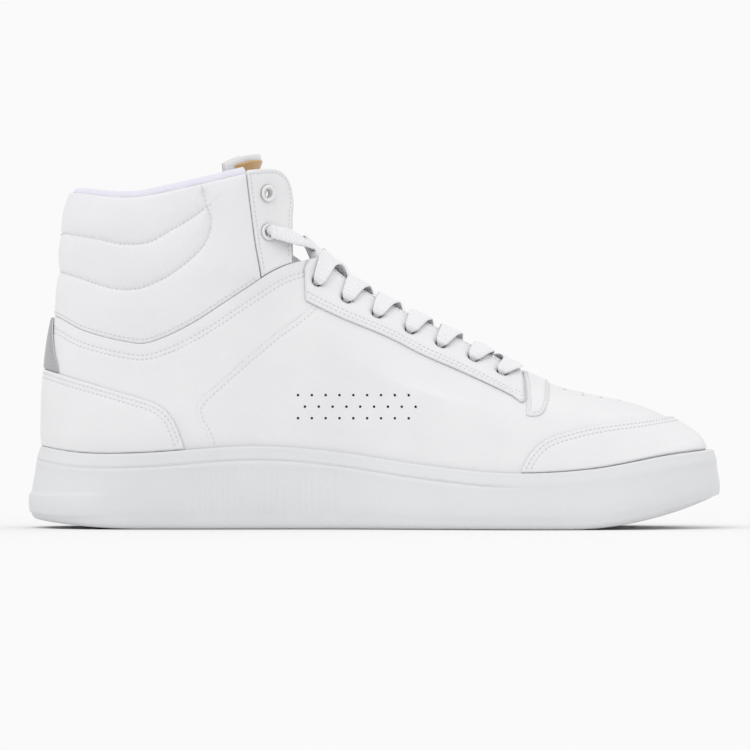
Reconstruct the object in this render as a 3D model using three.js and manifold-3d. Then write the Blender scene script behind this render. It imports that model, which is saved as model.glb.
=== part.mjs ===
// Basketball high top: a white leather court shoe on a cup sole, left foot.
// Millimetres, +X to the toe, +Y to the outer (lateral) side, +Z up, standing on z = 0.
import * as THREE from 'three';
import { mergeVertices } from 'three/addons/utils/BufferGeometryUtils.js';
import Module from 'manifold-3d';

const wasm = await Module();
wasm.setup();

// ---- Driving dimensions -------------------------------------------------------------------------
const shoeLength = 302;        // heel bumper to toe of the cup sole
const shoeHeight = 163;        // floor to the top of the tongue
const lastWidth = 97.6;        // upper across the ball of the foot
const gap = 0.3;               // left between neighbouring pieces

const panelLeather = 1.3;      // vamp, quarters, collar
const overlayLeather = 1.2;    // toe, throat, heel, eyestays, heel tab
const flapLeather = 2.4;       // doubled ankle flap
const stiffener = 1.2;         // heel counter and toe puff
const liningCloth = 0.9;
const liningSetback = 13;      // lining edge behind the throat's edge, clear of the eyelets
const collarPadding = 7;       // foam between collar panel and its lining

const tonguePadding = 4.5;
const tongueClearance = 2.3;   // room beside the lace between lining and tongue
const wingClearance = 1.3;     // between the collar lining and the wings of the tongue
const labelCloth = 0.7;

const rimWall = 3;             // top of the cup wall
const bumperWall = 5;          // cup wall near the floor
const cupFloor = 5;            // rubber under the wedge
const wedgeHeel = 13.7;        // foam wedge under the heel
const wedgeBall = 3.7;         // foam wedge under the ball
const boardThickness = 1.5;
const sockThickness = 4.5;
const sockClearance = 1.6;     // room round the footbed, which lifts out

const laceWidth = 7.5;
const laceThickness = 1.3;
const laceHoleRadius = 2.4;    // punched eyelets
const laceTipLength = 20;
const laceTipRadius = 1.5;
const ringHoleRadius = 2.1;    // collar eyelets
const ringFlangeRadius = 3.65;
const ringBarrelRadius = 2.7;
const ringFlange = 0.7;
const ringSeat = 0.5;          // flange above the curved flap

// ---- Grading: outlines are drawn on a base size and scaled to the shoe --------------------------
const baseLength = 302;
const baseWidth = 97.6;
const baseHeight = 163;
const gradeX = shoeLength / baseLength;
const gradeY = lastWidth / baseWidth;
const gradeZ = shoeHeight / baseHeight;
const grade = ([x, z]) => [x * gradeX, z * gradeZ];

// ---- Layers of the upper, measured outward from the face of the side panels ---------------------
const layers = {
  overlay: [gap + overlayLeather, gap],
  panel: [0, -panelLeather],
  flap: [0, -flapLeather],
};
layers.stiffener = [layers.panel[1] - gap, layers.panel[1] - gap - stiffener];
layers.lining = [layers.stiffener[1] - gap, layers.stiffener[1] - gap - liningCloth];
layers.foam = [layers.panel[1] - gap, layers.panel[1] - gap - collarPadding];
layers.collarLining = [layers.foam[1] - gap, layers.foam[1] - gap - liningCloth];

// ---- Small helpers ------------------------------------------------------------------------------
const clamp = (value, low, high) => Math.min(high, Math.max(low, value));
const mix = (a, b, t) => a + (b - a) * t;
const ease = (from, to, x) => {
  const t = clamp((x - from) / (to - from), 0, 1);
  return t * t * (3 - 2 * t);
};

// A smooth height z(x) through points with rising x.
function heightThrough(points) {
  const curve = new THREE.SplineCurve(points.map(([x, z]) => new THREE.Vector2(x, z)));
  const line = curve.getPoints(12 * points.length);
  return (x) => {
    if (x <= line[0].x) return line[0].y;
    for (let i = 1; i < line.length; i += 1) {
      const a = line[i - 1];
      const b = line[i];
      if (x <= b.x) return mix(a.y, b.y, (x - a.x) / (b.x - a.x));
    }
    return line[line.length - 1].y;
  };
}

function smoothLine(points, steps) {
  const curve = new THREE.SplineCurve(points.map((p) => new THREE.Vector2(...grade(p))));
  return curve.getPoints(steps).map((p) => [p.x, p.y]);
}

// The same open line moved sideways, to the left of its direction.
function shiftLine(line, distance) {
  return line.map(([x, z], i) => {
    const [ax, az] = line[Math.max(0, i - 1)];
    const [bx, bz] = line[Math.min(line.length - 1, i + 1)];
    const length = Math.hypot(bx - ax, bz - az);
    return [x - (bz - az) / length * distance, z + (bx - ax) / length * distance];
  });
}

// ---- The last: level lines from the feather edge to past the collar -----------------------------
// A row holds: heel x, z; front x, z; half widths at heel, waist and ball; lengths of the rounded heel
// and front; how square those two ends are; how far the line follows the footbed down at the ball.
const levels = [
  [-141.0, 19.9, 139.0, 20.6, 33.5, 34.0, 46.5, 36, 80, 2.2, 2.15, 10],
  [-145.0, 36.0, 142.8, 34.6, 36.0, 36.5, 48.8, 38, 84, 2.2, 2.15, 10.5],
  [-145.4, 48.0, 134.6, 43.6, 35.8, 36.5, 47.5, 38, 84, 2.2, 2.0, 8],
  [-145.0, 60.0, 114.0, 53.6, 34.5, 35.5, 44.8, 38, 82, 2.2, 1.9, 5],
  [-144.0, 72.0, 75.0, 63.2, 33.2, 34.5, 41.0, 37, 76, 2.2, 1.85, 2],
  [-142.4, 84.0, 36.7, 82.3, 32.4, 33.5, 36.0, 36, 66, 2.2, 2.0, 0],
  [-139.6, 98.0, -3.0, 103.0, 33.0, 33.5, 34.0, 36, 52, 2.2, 2.1, 0],
  [-138.2, 114.0, -21.0, 118.0, 35.0, 35.5, 35.5, 38, 44, 2.2, 2.2, 0],
  [-137.0, 131.0, -31.5, 137.0, 37.2, 37.2, 37.2, 40, 40, 2.2, 2.3, 0],
  [-133.4, 150.0, -35.0, 157.0, 38.6, 38.6, 38.6, 42, 38, 2.2, 2.4, 0],
  [-130.6, 165.0, -37.0, 173.0, 39.2, 39.2, 39.2, 42, 38, 2.2, 2.4, 0],
];
const topLevel = levels.length - 1;
const levelRows = levels.map((row) => [
  ...grade(row.slice(0, 2)),
  ...grade(row.slice(2, 4)),
  ...row.slice(4, 7).map((width) => width * gradeY),
  ...row.slice(7, 9).map((length) => length * gradeX),
  ...row.slice(9, 11),
  row[11] * gradeZ,
]);

// Stations along the foot where the widths apply, and the footbed's hollow at the ball.
const heelStation = -112 * gradeX;
const waistStation = -25 * gradeX;
const ballStation = (side) => (side < 0 ? 70 : 52) * gradeX;
const innerWaist = 0.965;
const outerWaist = 1.02;
const dipStart = -75 * gradeX;
const dipFull = 50 * gradeX;
const toeSpringStart = 84 * gradeX;
const toeSpringRun = 66.5 * gradeX;
const toeSpringRise = 15.3 * gradeZ;
const dipEnd = 56 * gradeX;
function hollow(x) {
  const leaving = clamp((x - toeSpringStart) / dipEnd, 0, 1);
  return ease(dipStart, dipFull, x) * (1 - leaving ** 2);
}

// The foot's centre line swings inward at the toe and a little outward at the waist.
const toeSwing = -7.5 * gradeY;
const waistSwing = 1.5 * gradeY;
function centreLine(x) {
  const toward = clamp((x / gradeX - 20) / 122, 0, 1);
  const waist = Math.max(0, 1 - ((x / gradeX + 25) / 60) ** 2);
  return toeSwing * toward ** 2 + waistSwing * waist ** 2;
}

function levelAt(u) {
  const i = clamp(Math.floor(u), 0, topLevel - 1);
  const t = u - i;
  const at = (k) => levelRows[clamp(k, 0, topLevel)];
  const row = at(i).map((p1, n) => {
    const p0 = at(i - 1)[n];
    const p2 = at(i + 1)[n];
    const p3 = at(i + 2)[n];
    return 0.5 * (2 * p1 + (p2 - p0) * t + (2 * p0 - 5 * p1 + 4 * p2 - p3) * t * t
      + (3 * p1 - p0 - 3 * p2 + p3) * t ** 3);
  });
  const [heelX, heelZ, frontX, frontZ, heelW, waistW, ballW, heelEnd, frontEnd, ...shape] = row;
  const [heelBlunt, frontBlunt, dip] = shape;
  const ends = { heelX, heelZ, frontX, frontZ, heelEnd, frontEnd, heelBlunt, frontBlunt };
  return { ...ends, heelW, waistW, ballW, dip };
}

function halfWidth(level, x, side) {
  const ball = ballStation(side);
  const waistCut = side < 0 ? innerWaist : outerWaist;
  const toWaist = ease(heelStation, waistStation, x);
  const toBall = ease(waistStation, ball, x);
  let width = mix(level.heelW, level.waistW * mix(1, waistCut, toWaist), toWaist);
  width = mix(width, level.ballW, toBall);
  const heelSide = clamp(1 - (x - level.heelX) / level.heelEnd, 0, 1);
  const frontSide = clamp(1 - (level.frontX - x) / level.frontEnd, 0, 1);
  const heelRound = (1 - heelSide ** level.heelBlunt) ** (1 / level.heelBlunt);
  const frontRound = (1 - frontSide ** level.frontBlunt) ** (1 / level.frontBlunt);
  return width * heelRound * frontRound;
}

function levelHeight(level, x) {
  const t = (x - level.heelX) / (level.frontX - level.heelX);
  return mix(level.heelZ, level.frontZ, t) - level.dip * (hollow(x) - hollow(level.frontX) * t);
}

// A point of the last's surface at level u, once round from the heel (0) by the inner side and the
// toe (0.5) back to the heel (1).
function lastPoint(u, around) {
  const level = levelAt(u);
  const turn = ((around % 1) + 1) % 1;
  const side = turn < 0.5 ? -1 : 1;
  const x = level.heelX + (level.frontX - level.heelX) * (1 - Math.cos(2 * Math.PI * turn)) / 2;
  const y = centreLine(x) + side * halfWidth(level, x, side);
  return new THREE.Vector3(x, y, levelHeight(level, x));
}

// A point of the last's surface moved outward by offset, and the outward direction there.
function surface(u, around, offset = 0) {
  const point = lastPoint(u, around);
  const step = 0.004;
  const levelStep = 0.05;
  const alongRing = lastPoint(u, around + step).sub(lastPoint(u, around - step));
  const low = Math.max(0, u - levelStep);
  const high = Math.min(topLevel, u + levelStep);
  const upward = lastPoint(high, around).sub(lastPoint(low, around));
  const normal = alongRing.cross(upward).normalize();
  return { point: point.clone().addScaledVector(normal, offset), normal };
}

function bisect(low, high, tooLow) {
  let a = low;
  let b = high;
  for (let i = 0; i < 40; i += 1) {
    const middle = (a + b) / 2;
    if (tooLow(middle)) a = middle;
    else b = middle;
  }
  return (a + b) / 2;
}

function aroundAt(u, x, side) {
  const level = levelAt(u);
  const cosine = clamp(1 - 2 * (x - level.heelX) / (level.frontX - level.heelX), -1, 1);
  const turn = Math.acos(cosine) / (2 * Math.PI);
  return side < 0 ? turn : 1 - turn;
}

// The surface point that is seen from the side at (x, z).
function seenAt([x, z], side, offset = 0) {
  const tooLow = (level) => level.frontX > x && levelHeight(level, x) < z;
  const u = bisect(0, topLevel, (v) => tooLow(levelAt(v)));
  return surface(u, aroundAt(u, x, side), offset);
}

// The surface point that is seen from above at x, y over the vamp and the throat.
function aboveAt(x, y, offset = 0) {
  const side = y < 0 ? -1 : 1;
  const reach = Math.abs(y - centreLine(x));
  const tooLow = (level) => level.frontX > x && halfWidth(level, x, side) > reach;
  const u = bisect(1, 8, (v) => tooLow(levelAt(v)));
  return surface(u, aroundAt(u, x, side), offset);
}

// The level whose front point has the height z.
const frontLevel = (z) => bisect(1, topLevel, (v) => levelAt(v).frontZ < z);

// ---- Solids -------------------------------------------------------------------------------------
// A closed body from points and triangles, turned so that its faces point out.
function solid(points, faces) {
  const positions = new Float32Array(points.flatMap((p) => [p.x, p.y, p.z]));
  const [a, b, c] = [new THREE.Vector3(), new THREE.Vector3(), new THREE.Vector3()];
  let volume = 0;
  for (const [i, j, k] of faces) {
    a.copy(points[i]);
    b.copy(points[j]);
    c.copy(points[k]);
    volume += a.dot(b.cross(c));
  }
  const outward = volume < 0 ? faces.map(([i, j, k]) => [i, k, j]) : faces;
  const geometry = new THREE.BufferGeometry();
  geometry.setAttribute('position', new THREE.BufferAttribute(positions, 3));
  geometry.setIndex(outward.flat());
  return geometry;
}

function manifoldOf(geometry) {
  const bare = geometry.clone();
  bare.deleteAttribute('normal');
  bare.deleteAttribute('uv');
  const merged = mergeVertices(bare, 1e-4);
  return new wasm.Manifold(new wasm.Mesh({
    numProp: 3,
    vertProperties: new Float32Array(merged.attributes.position.array),
    triVerts: new Uint32Array(merged.index.array),
  }));
}

function geometryOf(manifold) {
  const mesh = manifold.getMesh();
  const points = new Float32Array(mesh.numVert * 3);
  for (let i = 0; i < mesh.numVert; i += 1) {
    for (let k = 0; k < 3; k += 1) points[i * 3 + k] = mesh.vertProperties[i * mesh.numProp + k];
  }
  const geometry = new THREE.BufferGeometry();
  geometry.setAttribute('position', new THREE.BufferAttribute(points, 3));
  geometry.setIndex(Array.from(mesh.triVerts));
  geometry.computeVertexNormals();
  return geometry;
}

// The two triangles of a four-cornered face.
const gridFaces = (i, j, k, l) => [[i, j, k], [i, k, l]];

// A closed band between an outer and an inner skin, all the way round.
function ringShell(rows, columns, skins) {
  const points = [];
  for (const offset of skins) {
    for (const u of rows) {
      for (let c = 0; c < columns; c += 1) points.push(surface(u, c / columns, offset).point);
    }
  }
  const inner = rows.length * columns;
  const at = (r, c) => r * columns + (c % columns);
  const faces = [];
  for (let c = 0; c < columns; c += 1) {
    for (let r = 0; r < rows.length - 1; r += 1) {
      const [i, j, k, l] = [at(r, c), at(r, c + 1), at(r + 1, c + 1), at(r + 1, c)];
      faces.push(...gridFaces(i, j, k, l));
      faces.push(...gridFaces(inner + i, inner + l, inner + k, inner + j));
    }
    const top = rows.length - 1;
    faces.push(...gridFaces(at(0, c + 1), at(0, c), inner + at(0, c), inner + at(0, c + 1)));
    faces.push(...gridFaces(at(top, c), at(top, c + 1), inner + at(top, c + 1), inner + at(top, c)));
  }
  return solid(points, faces);
}

// A closed patch between two skins; pointAt(row, column, skin) gives the corners.
function patchShell(rows, columns, pointAt) {
  const points = [];
  for (const skin of [0, 1]) {
    for (let r = 0; r <= rows; r += 1) {
      for (let c = 0; c <= columns; c += 1) points.push(pointAt(r / rows, c / columns, skin));
    }
  }
  const inner = (rows + 1) * (columns + 1);
  const at = (r, c) => r * (columns + 1) + c;
  const faces = [];
  for (let r = 0; r < rows; r += 1) {
    for (let c = 0; c < columns; c += 1) {
      const [i, j, k, l] = [at(r, c), at(r, c + 1), at(r + 1, c + 1), at(r + 1, c)];
      faces.push(...gridFaces(i, j, k, l));
      faces.push(...gridFaces(inner + i, inner + l, inner + k, inner + j));
    }
    const [near, nextNear] = [at(r, 0), at(r + 1, 0)];
    const [last, nextLast] = [at(r, columns), at(r + 1, columns)];
    faces.push(...gridFaces(nextNear, inner + nextNear, inner + near, near));
    faces.push(...gridFaces(last, inner + last, inner + nextLast, nextLast));
  }
  for (let c = 0; c < columns; c += 1) {
    faces.push(...gridFaces(at(0, c), inner + at(0, c), inner + at(0, c + 1), at(0, c + 1)));
    faces.push(...gridFaces(at(rows, c + 1), inner + at(rows, c + 1), inner + at(rows, c), at(rows, c)));
  }
  return solid(points, faces);
}

// A closed stack of outlines, each once round, with caps laid straight across the first and last.
function cappedStack(outlines) {
  const columns = outlines[0].length;
  const at = (r, c) => r * columns + (c % columns);
  const faces = [];
  for (let r = 0; r < outlines.length - 1; r += 1) {
    for (let c = 0; c < columns; c += 1) {
      faces.push(...gridFaces(at(r, c), at(r, c + 1), at(r + 1, c + 1), at(r + 1, c)));
    }
  }
  const last = outlines.length - 1;
  for (let c = 0; c < columns / 2; c += 1) {
    const strip = [[c, c + 1, columns - c - 1], [c, columns - c - 1, (columns - c) % columns]];
    for (const [i, j, k] of strip) {
      if (i === j || j === k || i === k) continue;
      faces.push([i, k, j]);
      faces.push([at(last, i), at(last, j), at(last, k)]);
    }
  }
  return solid(outlines.flat(), faces);
}

// Past the shoe on every side, for the cutters.
const wide = 90 * gradeY;
const far = 250;
const below = -50;

// A flat outline in the side view, carried across the shoe from y0 to y1.
function sidePrism(outline, y0 = -wide, y1 = wide) {
  const shape = new THREE.Shape(outline.map(([x, z]) => new THREE.Vector2(x, z)));
  const prism = new THREE.ExtrudeGeometry(shape, { depth: y1 - y0, bevelEnabled: false });
  prism.rotateX(Math.PI / 2);
  prism.translate(0, y1, 0);
  return manifoldOf(prism);
}

// A flat outline in the plan view, carried from z0 to z1.
function planPrism(outline, z0, z1) {
  const shape = new THREE.Shape(outline.map(([x, y]) => new THREE.Vector2(x, y)));
  const prism = new THREE.ExtrudeGeometry(shape, { depth: z1 - z0, bevelEnabled: false });
  prism.translate(0, 0, z0);
  return manifoldOf(prism);
}

// Everything on one side of the shoe, from inset past the middle.
function sideOf(side, inset = 0) {
  const everything = [[-far, below], [far, below], [far, far], [-far, far]];
  return side < 0 ? sidePrism(everything, -wide, -inset) : sidePrism(everything, inset, wide);
}

// A round cutter through the upper at a surface point.
const cutterLength = 16;
function holeThrough({ point, normal }, radius) {
  const cutter = new THREE.CylinderGeometry(radius, radius, cutterLength, 8);
  const turn = new THREE.Quaternion().setFromUnitVectors(new THREE.Vector3(0, 1, 0), normal);
  cutter.applyQuaternion(turn);
  cutter.translate(point.x, point.y, point.z);
  return manifoldOf(cutter);
}

// ---- Seams and edges in the side view -----------------------------------------------------------
const rimPoints = [
  [-151, 36.8], [-128, 33], [-101, 33], [-55, 36], [-20, 33.8], [23, 27.6], [58, 24.4], [93, 26.1],
  [127, 32.1], [152, 35],
];
const rim = heightThrough(rimPoints.map(grade));
const rimLine = (from, to, rise, steps) => Array.from({ length: steps + 1 }, (_, i) => {
  const x = mix(from, to, i / steps) * gradeX;
  return [x, rim(x) + rise];
});

const collarSeam = smoothLine([
  [-160, 97], [-141, 92.5], [-127, 85.8], [-109, 81.2], [-98, 81], [-80.6, 88.7], [-60, 102], [-42, 113.2],
  [-25, 118], [-5, 121],
], 17);
const flapSeam = smoothLine([[-49, 100], [-50.5, 112], [-52.5, 123.5], [-54.5, 138.5], [-56.4, 154.4]], 5);
const quarterSeam = smoothLine([
  [-70, 5], [-72, 35.7], [-77, 47], [-77, 54.5], [-63, 67.8], [-45, 83.3], [-28, 96.7], [-14, 118],
], 10);
const toeEdge = smoothLine([
  [60, 12], [62.3, 24.3], [67, 33.3], [75, 39.5], [92.6, 44], [115, 46.4], [135, 48.4], [160, 50],
], 11);
const heelEdge = smoothLine([
  [-160, 73], [-145.7, 69.6], [-132, 65.3], [-111, 59], [-96, 54.2], [-89, 48.5], [-84.7, 39.3], [-82, 30],
], 10);
const eyestayEdge = smoothLine([
  [-31, 99], [-16, 91.7], [4.6, 83.1], [20, 75.3], [36, 68.3], [51.5, 61.2], [59, 57.4],
], 7);
const topLine = smoothLine([
  [-160, 148], [-134, 146.3], [-114, 144], [-100, 144.4], [-77, 149.2], [-56, 154.2], [-20, 163],
], 9);

// The throat opening in plan: its half width, from the rounded end at the vamp up to the tongue.
const throatEnd = 60.5 * gradeX;
const throatPoints = [
  [-75, 20], [-45, 18], [-30, 15.5], [-10, 12.5], [20, 10.5], [48, 9.5],
].map(([x, y]) => [x * gradeX, y * gradeY]);
const throatHalf = heightThrough(throatPoints);
const throatRound = 9.5 * gradeX;
function throatOutline(margin = 0) {
  const edge = throatPoints.map(([x]) => [x, throatHalf(x) + margin]);
  for (const angle of [25, 50, 75]) {
    const turn = angle * Math.PI / 180;
    const run = (throatRound + margin) * Math.sin(turn);
    edge.push([throatEnd - throatRound + run, (throatHalf(throatEnd) + margin) * Math.cos(turn)]);
  }
  const inner = edge.map(([x, y]) => [x, centreLine(x) - y]);
  const outer = edge.map(([x, y]) => [x, centreLine(x) + y]).reverse();
  return [...inner, [throatEnd + margin, centreLine(throatEnd)], ...outer];
}

// ---- Eyelets ------------------------------------------------------------------------------------
const lowerEyelets = [
  [54.3, 67], [41.8, 73.3], [27.7, 79.5], [14.4, 85.6], [0, 92.6], [-13.3, 99.3], [-26.2, 107],
].map(grade);
const lacedRing = grade([-46.7, 128.8]);
const emptyRing = grade([-47.2, 145.6]);
const sides = [-1, 1];
const sideName = (side) => (side < 0 ? 'medial' : 'lateral');

// ---- Materials and assembly helpers -------------------------------------------------------------
const finish = (color, roughness, metalness = 0) => ({ color, roughness, metalness });
const finishes = {
  leather: finish(0xeeeef0, 0.45),
  greyLeather: finish(0xb8b9ba, 0.4),
  rubber: finish(0xe4e5e7, 0.6),
  foam: finish(0xf2efe8, 0.9),
  board: finish(0xcdbf9f, 0.9),
  cloth: finish(0xe9e8f4, 0.9),
  stiff: finish(0xd9d4c8, 0.8),
  label: finish(0xd9a35c, 0.7),
  lace: finish(0xf6f6f8, 0.8),
  tip: finish(0xe8eaee, 0.25),
  ring: finish(0xf4f4f4, 0.3),
};

const shoe = new THREE.Group();

function addPiece(name, shape, look) {
  const geometry = shape.isBufferGeometry ? shape : geometryOf(shape);
  const mesh = new THREE.Mesh(geometry, new THREE.MeshStandardMaterial(look));
  mesh.name = name;
  shoe.add(mesh);
  return mesh;
}

// ---- Bottom unit --------------------------------------------------------------------------------
const columns = 32;            // facets round the shoe
const heelSpringStart = -100 * gradeX;
const heelSpringRun = 50 * gradeX;
const heelSpringRise = 4 * gradeZ;

// The underside of the sole, which curves up at the toe and a little at the heel.
function ground(x) {
  const toe = clamp((x - toeSpringStart) / toeSpringRun, 0, 1.2);
  const heel = clamp((heelSpringStart - x) / heelSpringRun, 0, 1.2);
  return toeSpringRise * toe ** 1.9 + heelSpringRise * heel ** 2;
}

// The top of the foam wedge.
function footbed(x) {
  return ground(x) + cupFloor + gap + mix(wedgeHeel, wedgeBall, ease(dipStart, dipFull, x));
}

// An outline parallel to the last's rim line, moved outward in plan.
function outline(u, outward, height) {
  return Array.from({ length: columns }, (_, c) => {
    const { point, normal } = surface(u, c / columns);
    const flat = new THREE.Vector3(normal.x, normal.y, 0).normalize();
    point.addScaledVector(flat, typeof outward === 'function' ? outward(point.x) : outward);
    point.z = height(point.x);
    return point;
  });
}

// The cup's wall stands out further at the toe, and at the heel low down.
const rimLevel = 1;
const atToe = (x) => ease(110, 140, x / gradeX);
const atHeel = (x) => ease(-100, -140, x / gradeX);
const bumper = (x) => bumperWall + 1.2 * atHeel(x) + 2.2 * atToe(x);
const rimOut = (x) => rimWall + 1.6 * atToe(x) - ease(-110, -140, x / gradeX);
const wallHeight = (share) => (x) => mix(ground(x), rim(x), share);
const footRound = 2.2;         // rounded lower corner of the wall
const footInset = 2.6;
const outsole = cappedStack([
  outline(rimLevel, (x) => bumper(x) - footInset, ground),
  outline(rimLevel, (x) => bumper(x) - 0.4, (x) => ground(x) + footRound),
  outline(rimLevel, bumper, wallHeight(0.25)),
  outline(rimLevel, (x) => mix(bumper(x), rimOut(x), 0.55), wallHeight(0.78)),
  outline(rimLevel, rimOut, rim),
  outline(rimLevel, gap, rim),
  outline(rimLevel, gap, (x) => ground(x) + cupFloor),
]);
addPiece('outsole', outsole, finishes.rubber);

const innerEdge = layers.lining[1] - gap;
const board = (x) => footbed(x) + gap;
const sockBase = (x) => board(x) + boardThickness + gap;
addPiece('midsole_wedge', cappedStack([
  outline(0, innerEdge, (x) => ground(x) + cupFloor + gap),
  outline(0, innerEdge, footbed),
]), finishes.foam);
addPiece('insole_board', cappedStack([
  outline(0, innerEdge, board),
  outline(0, innerEdge, (x) => board(x) + boardThickness),
]), finishes.board);
addPiece('sockliner', cappedStack([
  outline(0.15, innerEdge - sockClearance, sockBase),
  outline(0.15, innerEdge - sockClearance, (x) => sockBase(x) + sockThickness),
]), finishes.cloth);

// ---- Upper --------------------------------------------------------------------------------------
const lowRows = [0, 1, 2, 2.5, 3, 3.5, 4, 5, 6];
const highRows = [7, 8, 9, 9.6];
const allRows = [...lowRows, ...highRows];
const skin = (rows, layer) => manifoldOf(ringShell(rows, columns, layer));
const throat = planPrism(throatOutline(), 20, 200 * gradeZ);

// Regions of the side view, each between a seam moved sideways and the far corners.
const half = gap / 2;
const region = (line, corners) => sidePrism([...line, ...corners]);
const seamFront = 125 * gradeZ;
const seamBack = 97 * gradeZ;
const flapFoot = -49 * gradeX;
const quarterFoot = -70 * gradeX;
const aboveSeam = region(
  shiftLine(collarSeam, half),
  [[far, seamFront], [far, far], [-far, far], [-far, seamBack]],
);
const belowSeam = region(
  shiftLine(collarSeam, -half),
  [[far, seamFront], [far, below], [-far, below], [-far, seamBack]],
);
const behindFlap = region(
  shiftLine(flapSeam, half),
  [[-70, far], [-far, far], [-far, below], [flapFoot, below]],
);
const behindQuarter = region(
  shiftLine(quarterSeam, half),
  [[-14, far], [-far, far], [-far, below], [quarterFoot, below]],
);
const aheadQuarter = region(
  shiftLine(quarterSeam, -half),
  [[-14, far], [far, far], [far, below], [quarterFoot, below]],
);
const belowTop = (rise) => region(
  shiftLine(topLine, rise),
  [[far, 163 * gradeZ], [far, below], [-far, below], [-far, 148 * gradeZ]],
);

const eyeletHoles = sides.flatMap((side) => lowerEyelets.map(
  (eyelet) => holeThrough(seenAt(eyelet, side), laceHoleRadius),
));
const punched = (shape) => eyeletHoles.reduce((left, hole) => left.subtract(hole), shape);

const lowerPanels = skin(allRows, layers.panel).subtract(throat).intersect(belowSeam);
addPiece('vamp', punched(lowerPanels.intersect(aheadQuarter)), finishes.leather);
const quarters = lowerPanels.intersect(behindQuarter);
for (const side of sides) {
  addPiece(`quarter_${sideName(side)}`, punched(quarters.intersect(sideOf(side, half))), finishes.leather);
}

// The padded collar: a layer above the collar seam and behind the flaps, up to its own top edge.
const collarRows = [4, 5, 6, ...highRows];
const collarLayer = (layer, topRise) => skin(collarRows, layer)
  .subtract(throat)
  .intersect(aboveSeam)
  .intersect(behindFlap)
  .intersect(belowTop(topRise));
const foamRise = 0.8;
const liningRise = 2.6;        // the lining rolls over the top edge
addPiece('collar_shell', collarLayer(layers.panel, 0), finishes.leather);

const flapFront = smoothLine([
  [-36.2, 112], [-36.6, 132.7], [-36.2, 142], [-37.3, 149.4], [-39.6, 154], [-44.5, 156.4], [-55.2, 155.6],
], 10);
const flapOutline = [...flapFront, ...shiftLine(flapSeam, -half).reverse()];
const flaps = skin([6, ...highRows], layers.flap)
  .subtract(throat)
  .intersect(aboveSeam)
  .intersect(sidePrism(flapOutline));
for (const side of sides) {
  const ringHoles = [lacedRing, emptyRing].map(
    (place) => holeThrough(seenAt(place, side), ringBarrelRadius + gap),
  );
  const flap = ringHoles.reduce((left, hole) => left.subtract(hole), flaps.intersect(sideOf(side)));
  addPiece(`collar_flap_${sideName(side)}`, flap, finishes.leather);
}

const aboveRim = sidePrism([...rimLine(-165, 165, 2 * gap, 20), [far, far], [-far, far]]);
const overlays = skin(lowRows, layers.overlay).subtract(throat).intersect(aboveRim);
const toeZone = region(toeEdge, [[far, below], [60 * gradeX, below]]);
addPiece('toe_overlay', overlays.intersect(toeZone), finishes.leather);
const heelZone = region(heelEdge, [[-82 * gradeX, below], [-far, below]]);
addPiece('heel_overlay', overlays.intersect(heelZone), finishes.leather);

const tabFront = smoothLine([[-137, 60], [-138.4, 70.5], [-139.8, 76], [-140.8, 85], [-140.6, 99]], 5);
const tab = region(tabFront, [[-far, 99 * gradeZ], [-far, 60 * gradeZ]])
  .intersect(belowSeam)
  .intersect(region(shiftLine(heelEdge, gap), [[-60, 160], [-far, 160]]));
addPiece('heel_tab', overlays.intersect(tab), finishes.greyLeather);

const eyestayFront = [[63, 54.4], [64.4, 55.5], [64, 63.5], [60, 80]].map(grade);
const eyestay = sidePrism([
  ...eyestayEdge, ...eyestayFront, ...[[0, 135], [-24, 130], [-31.5, 113.2]].map(grade),
]);
const stayReach = 7.5;         // the eyestays stop this far from the middle below the throat
const stayFront = 50 * gradeX;
const betweenStays = planPrism([
  [stayFront, -stayReach], [far, -stayReach], [far, stayReach], [stayFront, stayReach],
], 20, far);
const stays = punched(overlays.intersect(eyestay).intersect(belowSeam).subtract(betweenStays));
for (const side of sides) {
  addPiece(`eyestay_${sideName(side)}`, stays.intersect(sideOf(side)), finishes.leather);
}
const throatSeam = smoothLine([[65, 48.9], [71, 49.3], [74, 54], [75.4, 62.7], [75.8, 72]], 8);
const throatCover = sidePrism([...throatSeam, ...[[63, 72], [64.7, 63.6], [65.1, 55.3]].map(grade)]);
addPiece('throat_overlay', overlays.intersect(throatCover), finishes.leather);

// Stiffeners between panel and lining, and the linings and padding inside.
const stiff = skin(lowRows, layers.stiffener);
const puffLine = smoothLine([[84, 5], [88, 30], [98, 44], [112, 60]], 5);
const toePuff = sidePrism([...puffLine, [far, 60], [far, 5]]);
addPiece('toe_puff', stiff.intersect(toePuff), finishes.stiff);
const counterLine = smoothLine([[-160, 76], [-140, 74], [-110, 62], [-88, 46], [-82, 5]], 8);
const counter = sidePrism([...counterLine, [-160, 5]]);
addPiece('heel_counter', stiff.intersect(counter), finishes.stiff);

const liningThroat = planPrism(throatOutline(liningSetback), 20, 200 * gradeZ);
const upperLining = skin(lowRows, layers.lining).subtract(liningThroat).intersect(belowSeam);
addPiece('upper_lining', upperLining, finishes.cloth);
addPiece('collar_foam', collarLayer(layers.foam, foamRise), finishes.foam);
addPiece('collar_lining', collarLayer(layers.collarLining, liningRise), finishes.cloth);

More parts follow.
